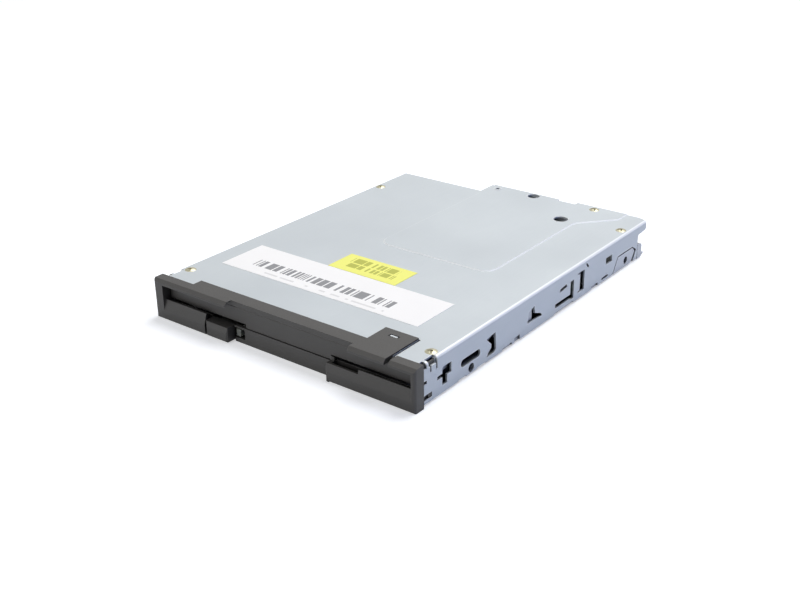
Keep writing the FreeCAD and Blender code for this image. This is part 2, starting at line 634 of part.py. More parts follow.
SLIDER_HALF = "(disk_width / 2 + disk_play_side + holder_wall + slider_side_gap + slider_wall)"
BOARD_TOP = "(board_low + board_thick)"
HEAD_DEEP = "(spindle_deep + track_first)"
EAR_LOW = "(chassis_height - cover_wall - ear_thick)"
COVER_SCREWS = [
    ("screw_inset", "screw_front"),
    ("(chassis_width - screw_inset_right)", "screw_front"),
    ("screw_mid_inset", "screw_mid"),
    ("(chassis_width - screw_inset_right)", "screw_rear"),
    ("screw_last_across", "screw_last_deep"),
]
BOARD_SCREWS = [
    ("(board_left + board_screw_left)", "(board_front + board_screw_deep)"),
    ("(board_right - board_screw_right)", "(board_front + board_screw_deep)"),
    ("(board_bay_left - board_screw_bay)", "(board_rear - board_screw_rear)"),
    ("(board_right - board_screw_corner)", "(board_rear - board_screw_low)"),
]
BRACKET_SCREWS = [("(screw_across + bracket_offset)", "(lead_front + bracket_screw_in)"),
                  ("(screw_across + bracket_offset)", "(lead_rear - bracket_screw_in)")]
MOTOR_SCREWS = [
    ("(disk_middle - motor_screw_out)", "spindle_deep"),
    ("(disk_middle + motor_screw_out / 2)", "(spindle_deep + motor_screw_out * sqrt(3) / 2)"),
    ("(disk_middle + motor_screw_out / 2)", "(spindle_deep - motor_screw_out * sqrt(3) / 2)"),
]

WORD = re.compile(r"[a-z][a-z_]*[a-z]")


def linked(text):
    """Turns the names of dimensions in a text into references to the sheet's cells."""

    def reference(word):
        name = word.group(0)
        if name in PLACES:
            return f"({linked(PLACES[name])})"
        return f"Sizes.{name}" if name in SIZES else name

    return WORD.sub(reference, str(text))


def bind(thing, prop, text):
    thing.setExpression(prop, linked(text))


def mm(name):
    """The number in the sheet's cell of this name."""
    return float(sheet.get(name))


def frame_offset():
    """From the drive's own measures to the origin under the middle of the whole drive."""
    return Vector(-mm("chassis_width") / 2,
                  (mm("bezel_depth") - mm("chassis_depth")) / 2,
                  mm("bezel_under"))


def piece(label, across="0", deep="0", high="0"):
    """Starts a sub-part as a body, drawn from a place in the drive and set down in its frame."""
    body = doc.addObject("PartDesign::Body", label)
    body.Label = label
    bind(body, "Placement.Base.x", f"{across} - chassis_width / 2")
    bind(body, "Placement.Base.y", f"{deep} + (bezel_depth - chassis_depth) / 2")
    bind(body, "Placement.Base.z", f"{high} + bezel_under")
    nodes[label] = body
    return body


def turned_piece(label, axis, angle, across, deep, high="0"):
    """A body that is drawn along the main axes and then turned about its origin."""
    body = piece(label, across, deep, high)
    body.Placement = Placement(Vector(), Rotation(axis, 1))
    bind(body, "Placement.Rotation.Angle", angle)
    return body


def box(body, name, x, y, z, cut=False):
    """Adds or cuts a block between two places on each axis."""
    feature = body.newObject("PartDesign::SubtractiveBox" if cut else "PartDesign::AdditiveBox", name)
    for prop, axis, span in (("Length", "x", x), ("Width", "y", y), ("Height", "z", z)):
        bind(feature, prop, f"({span[1]}) - ({span[0]})")
        bind(feature, f"Placement.Base.{axis}", span[0])
    return feature


ALONG_X = Vector(1, 0, 0)
ALONG_Y = Vector(0, 1, 0)
ALONG_Z = Vector(0, 0, 1)
STEPS_PER_TURN = 12
TURNS = {"x": Rotation(Vector(0, 1, 0), 90), "y": Rotation(Vector(1, 0, 0), -90), "z": Rotation()}


def rod(body, name, along, centre, radius, span, cut=False):
    """Adds or cuts a cylinder. centre holds the other two coordinates, in X, Y, Z order."""
    feature = body.newObject("PartDesign::SubtractiveCylinder" if cut else "PartDesign::AdditiveCylinder",
                             name)
    feature.Placement = Placement(Vector(), TURNS[along])
    others = [axis for axis in "xyz" if axis != along]
    bind(feature, "Radius", radius)
    bind(feature, "Height", f"({span[1]}) - ({span[0]})")
    bind(feature, f"Placement.Base.{along}", span[0])
    bind(feature, f"Placement.Base.{others[0]}", centre[0])
    bind(feature, f"Placement.Base.{others[1]}", centre[1])
    return feature


def origin_plane(body, role):
    return next(item for item in body.Origin.OriginFeatures if item.Role == role)


def block(left, right, low, high):
    """A rectangular loop between two places on both sketch axes."""
    return [(left, low), (right, low), (right, high), (left, high)]


def ring(across, up, radius):
    """A round loop."""
    return ("round", across, up, radius)


def draw_round(sketch, rules, loop):
    """Adds a circle, held by two bound distances and a bound radius."""
    _, across, up, radius = loop
    index = sketch.addGeometry(Part.Circle(Vector(), ALONG_Z, 1))
    rules.append((Sketcher.Constraint("DistanceX", -1, 1, index, 3, 0.0), across))
    rules.append((Sketcher.Constraint("DistanceY", -1, 1, index, 3, 0.0), up))
    rules.append((Sketcher.Constraint("Radius", index, 1.0), radius))


def draw_corners(sketch, rules, loop):
    """Adds straight lines from corner to corner, each corner held by two bound distances."""
    count = len(loop)
    start = len(sketch.Geometry)
    spread = [Vector(math.cos(2 * math.pi * i / count), math.sin(2 * math.pi * i / count),
                     0) for i in range(count)]
    for i in range(count):
        sketch.addGeometry(Part.LineSegment(spread[i], spread[(i + 1) % count]))
    for i, (across, up) in enumerate(loop):
        rules.append((Sketcher.Constraint("Coincident", start + i, 2, start + (i + 1) % count, 1), None))
        rules.append((Sketcher.Constraint("DistanceX", -1, 1, start + i, 1, spread[i].x), across))
        rules.append((Sketcher.Constraint("DistanceY", -1, 1, start + i, 1, spread[i].y), up))


def outline(body, name, plane, loops):
    """Draws closed loops in one sketch on a plane of the body's own origin."""
    sketch = body.newObject("Sketcher::SketchObject", name)
    sketch.AttachmentSupport = [(origin_plane(body, plane), "")]
    sketch.MapMode = "FlatFace"
    rules = []
    for loop in loops:
        if loop[0] == "round":
            draw_round(sketch, rules, loop)
        else:
            draw_corners(sketch, rules, loop)
    sketch.addConstraint([rule for rule, text in rules])
    for number, (rule, text) in enumerate(rules):
        if text is not None:
            bind(sketch, f"Constraints[{number}]", text)
    return sketch


def prism(body, name, plane, loops, span, cut=False):
    """Adds or cuts straight prisms over loops, between two places on the third axis."""
    sketch = outline(body, name + "_outline", plane, loops)
    if plane == "XZ_Plane":
        bind(sketch, "AttachmentOffset.Base.z", f"-({span[1]})")
    else:
        bind(sketch, "AttachmentOffset.Base.z", span[0])
    feature = body.newObject("PartDesign::Pocket" if cut else "PartDesign::Pad", name)
    feature.Profile = sketch
    bind(feature, "Length", f"({span[1]}) - ({span[0]})")
    if cut:
        feature.Reversed = True
    return feature


def around(body, name, features, count):
    """Repeats features evenly about the body's own upright axis."""
    pattern = body.newObject("PartDesign::PolarPattern", name)
    pattern.Originals = features
    pattern.Axis = (origin_plane(body, "Z_Axis"), [""])
    pattern.Angle = 360
    bind(pattern, "Occurrences", count)
    body.Tip = pattern
    return pattern


def edges_where(shape, test):
    return [f"Edge{i + 1}" for i, edge in enumerate(shape.Edges) if test(edge)]


def runs_along(edge, axis):
    """Whether an edge is straight and parallel to the axis."""
    if len(edge.Vertexes) != 2 or edge.Curve.TypeId != "Part::GeomLine":
        return False
    step = edge.Vertexes[1].Point - edge.Vertexes[0].Point
    return abs(abs(step.dot(axis)) - step.Length) < 1e-6


def ease(body, name, kind, amount, test):
    """Rounds or bevels the edges of the body so far that pass the test."""
    doc.recompute()
    base = body.Tip
    chosen = edges_where(base.Shape, test)
    if not chosen:
        raise RuntimeError(f"{name} finds no edge")
    feature = body.newObject(f"PartDesign::{kind}", name)
    feature.Base = (base, chosen)
    bind(feature, "Radius" if kind == "Fillet" else "Size", amount)
    return feature


BEYOND = "(chassis_height + 1)"
BOTH_SIDES = ("-1", "chassis_width + 1")
SPRING_LINES = ("spring_line", "2 * disk_middle - spring_line")
SPRING_PEG_DEEP = "(spring_foot_front + spring_foot_long / 2)"


def side_openings():
    """Loops of the openings in both folded sides, seen from the right: to the rear and up."""
    return [
        block("-1", "edge_nick", "lower_nick_low", "lower_nick_high"),
        block("clip_front", "clip_rear", "clip_low", "clip_high"),
        [("cross_front", "cross_low"), ("cross_rear", "cross_low"), ("cross_rear", "cross_arm_low"),
         ("cross_arm_rear", "cross_arm_low"), ("cross_arm_rear", "cross_high"), ("cross_front", "cross_high"),
         ("cross_front", "cross_arm_high"), ("cross_arm_front", "cross_arm_high"),
         ("cross_arm_front", "cross_arm_low"), ("cross_front", "cross_arm_low")],
        block("long_slot_front + long_slot_radius", "long_slot_rear - long_slot_radius",
              "long_slot_middle - long_slot_radius", "long_slot_middle + long_slot_radius"),
        [("hook_front + hook_slant", "hook_low"), ("hook_rear - 3 * hook_slant", "hook_low"),
         ("hook_rear", "hook_low + 2 * hook_slant"), ("hook_rear - hook_slant", "hook_high"),
         ("hook_front", "hook_high - hook_slant"),
         ("hook_rear - hook_bar", "hook_high - hook_head - hook_slant"),
         ("hook_rear - hook_bar", "hook_low + 2 * hook_foot"),
         ("hook_front + hook_foot", "hook_low + hook_foot")],
        [("angle_front", "angle_low + angle_slant / 2"),
         ("angle_rear - angle_bar", "angle_low + angle_slant / 2"),
         ("angle_rear", "angle_low"), ("angle_rear - angle_slant", "angle_low + 2 * angle_slant"),
         ("angle_front + angle_bar + angle_slant", "angle_low + angle_foot + angle_slant"),
         ("angle_front + angle_bar", "angle_high"),
         ("angle_front + angle_slant", "angle_high - 2 * angle_slant")],
        [("vent_front", "vent_low"), ("vent_rear", "vent_low + vent_slant"),
         ("vent_rear - vent_slant", "vent_high + vent_slant"), ("vent_front", "vent_high")],
        [("boot_front", "boot_sole_low"), ("boot_rear - boot_bar", "boot_sole_low"),
         ("boot_rear - boot_bar", "boot_low"), ("boot_rear", "boot_low"), ("boot_rear", "boot_high"),
         ("boot_rear - boot_bar", "boot_high"), ("boot_rear - boot_bar", "boot_sole_high"),
         ("boot_front", "boot_sole_high")],
        [("pillar_front - pillar_foot", "pillar_low"), ("pillar_rear", "pillar_low"),
         ("pillar_rear", "pillar_high"),
         ("pillar_front - pillar_foot", "pillar_high"),
         ("pillar_front - pillar_foot", "pillar_high - notch_leg_wide"),
         ("pillar_front", "pillar_high - notch_leg_wide"), ("pillar_front", "pillar_low + notch_leg_wide"),
         ("pillar_front - pillar_foot", "pillar_low + notch_leg_wide")],
        [("tick_front", "tick_low + tick_long - tick_wide"),
         ("tick_front + tick_long - tick_wide", "tick_low"),
         ("tick_front + tick_long", "tick_low + tick_wide"),
         ("tick_front + tick_wide", "tick_low + tick_long")],
        block("window_front", "window_rear", "window_low", "window_high"),
        block("slit_front", "slit_rear", "slit_low", "slit_high"),
        [("lug_front", "-1"), ("lug_front", "skirt_rise + lug_toe"), ("lug_front + lug_slope", "lug_top"),
         ("lug_rear - lug_slope", "lug_top"), ("lug_rear", "lug_knee"), ("lug_rear - lug_slope", "-1")],
    ]


def hem_nicks():
    """Loops of the shallow nicks in the lower edge of both sides."""
    return [block(f"hem_nick_{name}", f"hem_nick_{name} + hem_nick_{name}_long", "-1",
                  f"hem_nick_{name}_high")
            for name in "abcdef"]


def fold_openings():
    """Loops of the openings that reach up through the fold: a nick, and a notch with its two slits."""
    return [
        block("-1", "edge_nick", "upper_nick_low", BEYOND),
        [("latch_notch_front", BEYOND), ("latch_notch_front", "latch_notch_low"),
         ("latch_notch_front + notch_leg_wide", "latch_notch_low"),
         ("latch_notch_front + notch_leg_wide", "notch_leg_low"),
         ("latch_notch_front + 2 * notch_leg_wide", "notch_leg_low"),
         ("latch_notch_front + 2 * notch_leg_wide", "latch_notch_low"),
         ("latch_notch_rear - notch_leg_wide", "latch_notch_low"),
         ("latch_notch_rear - notch_leg_wide", "notch_leg_low"),
         ("latch_notch_rear", "notch_leg_low"), ("latch_notch_rear", BEYOND)],
    ]


def make_cover_sheet():
    """The whole folded sheet as one body, which split_cover divides."""
    body = piece("cover_sheet")
    far = "(chassis_depth + 1)"
    plan = [("0", "0"), ("chassis_width", "0"), ("chassis_width", "chassis_depth - corner_cut_deep"),
            ("chassis_width - corner_cut_wide", "chassis_depth"), ("notch_right", "chassis_depth"),
            ("notch_right", "notch_depth"), ("tab_right", "notch_depth"), ("tab_right", "tab_depth"),
            ("tab_left", "tab_depth"), ("tab_left", "left_part_depth"), ("0", "left_part_depth")]
    prism(body, "sheet", "XY_Plane", [plan], ("skirt_rise", "chassis_height"))
    ease(body, "folds", "Fillet", "cover_bend",
         lambda edge: runs_along(edge, ALONG_Y) and edge.BoundBox.ZMax > mm("chassis_height") - 0.01
         and (edge.BoundBox.XMax < 0.01 or edge.BoundBox.XMin > mm("chassis_width") - 0.01))
    box(body, "inside", ("cover_wall", "chassis_width - cover_wall"), ("-1", far), ("-1", COVER_UNDER),
        cut=True)
    prism(body, "side_rear_end", "YZ_Plane",
          [[("side_end_depth", "-1"), ("side_end_depth", "side_end_low"),
            ("side_end_depth + side_end_slope", "side_end_mid"),
            ("side_step_depth", "side_end_mid + side_end_slope"), (far, "chassis_height - cover_bend"),
            (far, "-1")]],
          ("chassis_width / 2", "chassis_width + 1"), cut=True)
    box(body, "left_rear_foot", ("-1", "2 * cover_wall"), ("lug_rear - lug_slope", far),
        ("-1", "lug_knee"), cut=True)
    prism(body, "rear_lips", "XY_Plane",
          [block("notch_right + 2", "chassis_width - rear_lip_inset", "chassis_depth - cover_wall",
                 "chassis_depth"),
           block("3 * cover_wall", "tab_left - 2", "left_part_depth - cover_wall", "left_part_depth")],
          ("chassis_height - rear_lip", "chassis_height - cover_wall / 2"))
    prism(body, "side_cuts", "YZ_Plane", side_openings() + hem_nicks(), BOTH_SIDES, cut=True)
    for end in ("long_slot_front + long_slot_radius", "long_slot_rear - long_slot_radius"):
        rod(body, "long_slot_end", "x", (end, "long_slot_middle"), "long_slot_radius", BOTH_SIDES, cut=True)
    rod(body, "mount_clearance", "x", ("mount_front", "mount_low"), "mount_clear", BOTH_SIDES, cut=True)
    for name, span in {"left": ("-1", "cover_bend + notch_leg_wide"),
                       "right": ("chassis_width - cover_bend - notch_leg_wide", "chassis_width + 1")}.items():
        prism(body, "fold_cuts_" + name, "YZ_Plane", fold_openings(), span, cut=True)
    prism(body, "plateau", "XY_Plane",
          [[("plateau_left", "plateau_front"), ("plateau_right", "plateau_front"),
            ("plateau_right", "plateau_turn"),
            ("plateau_far", "plateau_slant"), ("plateau_far", "chassis_depth"),
            ("notch_right", "chassis_depth"),
            ("notch_right", "notch_depth"), ("tab_right", "notch_depth"), ("tab_right", "tab_depth"),
            ("plateau_left", "tab_depth")]],
          ("chassis_height - cover_wall / 2", PLATEAU_TOP))
    ease(body, "plateau_corners", "Fillet", "plateau_round",
         lambda edge: runs_along(edge, ALONG_Z) and edge.BoundBox.ZMin > mm("chassis_height") - 0.01
         and edge.BoundBox.YMin < mm("plateau_turn") + 0.1)
    ease(body, "plateau_slope", "Chamfer", "plateau_bevel",
         lambda edge: edge.BoundBox.ZMin > mm("chassis_height") + mm("plateau_rise") - 0.001
         and edge.BoundBox.YMin < mm("plateau_slant") + 0.1)
    prism(body, "plateau_inside", "XY_Plane",
          [[("plateau_left + cover_wall", "plateau_front + cover_wall"),
            ("plateau_right - cover_wall", "plateau_front + cover_wall"),
            ("plateau_right - cover_wall", "plateau_turn"), ("plateau_far - cover_wall", "plateau_slant"),
            ("plateau_far - cover_wall", "notch_depth - 2 * cover_wall"),
            ("plateau_left + cover_wall", "notch_depth - 2 * cover_wall")]],
          ("chassis_height - 2 * cover_wall", PLATEAU_UNDER), cut=True)
    rod(body, "pip_ring", "z", ("pip_across", "pip_deep"), "pip_rim",
        (PLATEAU_UNDER, f"{PLATEAU_TOP} + pip_rise"))
    holes = [ring("hole_small_across", "hole_small_deep", "hole_small_radius"),
             ring("hole_large_across", "hole_large_deep", "hole_large_radius"),
             ring("pip_across", "pip_deep", "pip_radius")]
    for across, deep in COVER_SCREWS:
        holes.append(ring(across, deep, "screw_radius + 2 * screw_fit"))
    prism(body, "holes", "XY_Plane", holes, ("chassis_height - 2 * ear_thick", f"{PLATEAU_TOP} + 1"),
        cut=True)
    box(body, "tongue_slit", ("latch_right", "latch_right + tongue_slit"), ("-1", "latch_reach"),
        ("chassis_height - 2 * cover_wall", BEYOND), cut=True)
    box(body, "latch_hook", ("latch_window_left + latch_hook_gap", "latch_window_right - latch_hook_gap"),
        ("latch_window_front + latch_hook_gap", "latch_window_front + latch_hook_gap + latch_hook_thick"),
        (COVER_UNDER, f"{BEZEL_TOP} - fold_gap"))
    return body


def part_box(label, across, deep, high):
    """A block between two places on each axis, in the drive's frame, that isn't a node itself."""
    block = doc.addObject("Part::Box", label)
    offsets = ("- chassis_width / 2", "+ (bezel_depth - chassis_depth) / 2", "+ bezel_under")
    for prop, axis, span, offset in zip(("Length", "Width", "Height"), "xyz", (across, deep, high), offsets):
        bind(block, prop, f"({span[1]}) - ({span[0]})")
        bind(block, f"Placement.Base.{axis}", f"({span[0]}) {offset}")
    return block


def split_cover(sheet_body):
    """Divides the folded sheet at the underside of its flat top: the top, and both folded sides.

    One piece across the drive's inside would close it off, so each wall is a piece of its own."""
    deep = ("-1", "chassis_depth + 1")
    high = ("-1", COVER_UNDER)
    sides = {"left": ("-1", "2 * cover_wall"),
             "right": ("chassis_width - 2 * cover_wall", "chassis_width + 1")}
    rest = sheet_body
    del nodes["cover_sheet"]
    for side, across in sides.items():
        room = part_box("room_" + side, across, deep, high)
        wall = doc.addObject("Part::Common", "cover_side_" + side)
        top = doc.addObject("Part::Cut", "cover_without_" + side)
        for thing in (wall, top):
            thing.Base = rest
            thing.Tool = room
        wall.Label = "cover_side_" + side
        nodes[wall.Label] = wall
        rest = top
    rest.Label = "top_cover"
    nodes["top_cover"] = rest


def flange_profile():
    """Outline of a side flange of the base, seen from the right."""
    pad_front = "(mount_front - mount_pad_long / 2)"
    pad_rear = "(mount_front + mount_pad_long / 2)"
    return [("riser_front", "0"), ("riser_front", "flange_height"), (pad_front, "flange_height"),
            (pad_front, "mount_pad_high"), (pad_rear, "mount_pad_high"), (pad_rear, "flange_height"),
            ("lug_front + lug_slit", "flange_height"), ("lug_front + lug_slit", "lug_wall"),
            ("lug_end - lug_round", "lug_wall"), ("lug_end - lug_round", "0")]


def front_riser_profile():
    """Outline of the riser under a front ear: it steps to the rear above the cross-shaped opening."""
    return [("riser_front", "flange_height"), ("riser_front", "riser_step"), ("ear_front", "riser_step"),
            ("ear_front", COVER_UNDER), ("cross_front", COVER_UNDER),
            ("cross_front", "cross_arm_high + riser_clear"),
            ("cross_arm_front - riser_clear", "cross_arm_high + riser_clear"),
            ("cross_arm_front - riser_clear", "flange_height")]


def lug_profile():
    """Outline of the flush lug inside the slit of the cover's side."""
    foot = "(lug_front + lug_slit)"
    return [(foot, "skirt_rise"), (f"{foot} + lug_slit / 2", "skirt_rise + lug_toe + lug_slit / 2"),
            ("lug_front + lug_slope + lug_slit / 2", "lug_top - lug_slit"),
            ("lug_rear - lug_slope", "lug_top - lug_slit"),
            ("lug_rear - 3 * lug_slit", "lug_knee - lug_slit / 2"),
            ("lug_rear - lug_slope - 2 * lug_slit", "skirt_rise")]


def make_base_frame():
    body = piece("base_frame")
    rear = BASE_REAR
    box(body, "floor", (BASE_LEFT, BASE_RIGHT), ("0", rear), ("0", "base_wall"))
    prism(body, "flange_left", "YZ_Plane", [flange_profile()], (BASE_LEFT, FLANGE_LEFT))
    prism(body, "flange_right", "YZ_Plane", [flange_profile()], (FLANGE_RIGHT, BASE_RIGHT))
    prism(body, "lug_left", "YZ_Plane", [lug_profile()], ("0", FLANGE_LEFT))
    prism(body, "lug_right", "YZ_Plane", [lug_profile()], (FLANGE_RIGHT, "chassis_width"))
    box(body, "lug_tail", (FLANGE_RIGHT, "chassis_width"), ("side_end_depth + side_end_slope", "lug_end"),
        ("0", "lug_tail_high"))
    ease(body, "lug_tail_round", "Fillet", "lug_round",
         lambda edge: runs_along(edge, ALONG_X) and edge.BoundBox.YMin > mm("lug_end") - 0.01
         and edge.BoundBox.ZMin > mm("lug_tail_high") - 0.01 and edge.BoundBox.XMin > mm("chassis_width") / 2)
    box(body, "rear_wall", ("rear_wall_left", "rear_wall_right"), (f"{rear} - base_wall", rear),
        ("0", "rear_wall_high"))
    box(body, "rear_screen", ("tab_left + 2 * cover_wall", "screw_across - stepper_radius"),
        (f"{rear} - base_wall", rear), ("0", COVER_UNDER))
    box(body, "last_pillar", ("screw_last_across - ear_reach", "screw_last_across + ear_reach"),
        ("screw_last_deep - ear_reach", rear), ("0", COVER_UNDER))
    prism(body, "standoffs", "XY_Plane",
          [ring(across, deep, "standoff_radius") for across, deep in BOARD_SCREWS],
          ("base_wall / 2", "board_low"))
    prism(body, "spring_hooks", "XY_Plane",
          [ring(across, "spring_hook_deep", "spring_peg") for across in SPRING_LINES],
          ("base_wall / 2", "spring_axis + spring_peg_past"))
    rod(body, "last_thread", "z", COVER_SCREWS[-1], "screw_radius + screw_fit", (f"{EAR_LOW} - 1", BEYOND),
        cut=True)
    threads = [ring(across, deep, "small_screw + screw_fit") for across, deep in BOARD_SCREWS]
    for across, deep in BRACKET_SCREWS + MOTOR_SCREWS:
        threads.append(ring(across, deep, "tiny_screw + screw_fit"))
    prism(body, "board_threads", "XY_Plane", threads, ("-1", "board_low + 1"), cut=True)
    for name, span in {"left": ("-1", FLANGE_LEFT), "right": (FLANGE_RIGHT, "chassis_width + 1")}.items():
        prism(body, "mount_holes_" + name, "YZ_Plane",
              [ring("mount_front", "mount_low", "mount_radius"),
               ring("mount_rear", "mount_rear_low", "mount_radius")],
              span, cut=True)
    slots = [ring("disk_middle", "spindle_deep", "motor_opening"),
             ring("lever_across", "lever_deep", "lever_post")]
    relief = ("mount_front - mount_radius - mount_relief_gap",
              "mount_front + mount_radius + mount_relief_gap")
    slots.append(block(FLANGE_LEFT, f"{FLANGE_LEFT} + mount_relief", *relief))
    slots.append(block(f"{FLANGE_RIGHT} - mount_relief", FLANGE_RIGHT, *relief))
    for deep, long in (("floor_slot_front", "floor_slot_short"), ("floor_slot_rear", "floor_slot_long")):
        slots.append(block("disk_middle - floor_slot_out", "disk_middle - floor_slot_in", deep,
                           f"{deep} + {long}"))
        slots.append(block("disk_middle + floor_slot_in", "disk_middle + floor_slot_out", deep,
                           f"{deep} + {long}"))
    slots.append(block("rod_slot_left", "rod_slot_left + floor_slot_short", "rod_slot_front",
                       "rod_slot_front + floor_slot_long"))
    prism(body, "floor_openings", "XY_Plane", slots, ("-1", "base_wall + 0.1"), cut=True)
    prism(body, "rear_windows", "XZ_Plane",
          [block(left, f"{left} + rear_window_wide", "2 * base_wall", "rear_wall_high - base_wall")
           for left in ("rod_across + clamp_wide", "screw_last_across + 2 * ear_reach")],
          (f"{rear} - 2 * base_wall", "chassis_depth"), cut=True)


def make_screw_ears():
    """The folded ears under four of the cover's screws, each on its riser above a flange."""
    body = piece("screw_ears")
    risers = {"left": (BASE_LEFT, FLANGE_LEFT), "right": (FLANGE_RIGHT, BASE_RIGHT)}
    for side, span in risers.items():
        prism(body, "front_riser_" + side, "YZ_Plane", [front_riser_profile()], span)
    box(body, "mid_riser", risers["left"], ("screw_mid - ear_reach", "screw_mid + ear_reach"),
        ("flange_height", COVER_UNDER))
    box(body, "rear_riser", risers["right"], ("screw_rear - ear_reach", "screw_rear + ear_reach"),
        ("lug_top - lug_slit", COVER_UNDER))
    ear_right = "(chassis_width - screw_inset_right - ear_reach)"
    prism(body, "ears", "XY_Plane",
          [block(BASE_LEFT, "screw_inset + ear_reach", "ear_front", "screw_front + ear_reach"),
           block(ear_right, BASE_RIGHT, "ear_front", "screw_front + ear_reach"),
           block(BASE_LEFT, "screw_mid_inset + ear_reach", "screw_mid - ear_reach", "screw_mid + ear_reach"),
           block(ear_right, BASE_RIGHT, "screw_rear - ear_reach", "screw_rear + ear_reach")],
          (EAR_LOW, COVER_UNDER))
    prism(body, "cover_threads", "XY_Plane",
          [ring(across, deep, "screw_radius + screw_fit") for across, deep in COVER_SCREWS[:-1]],
          (f"{EAR_LOW} - 1", BEYOND), cut=True)


def lean_profile(front):
    """What is cut off a front face so that it leans back from lip_break up to the slot."""
    return [(f"{front} - 1", "lip_break"), (front, "lip_break"), (f"{front} + lip_lean", "slot_low"),
            (f"{front} - 1", "slot_low")]


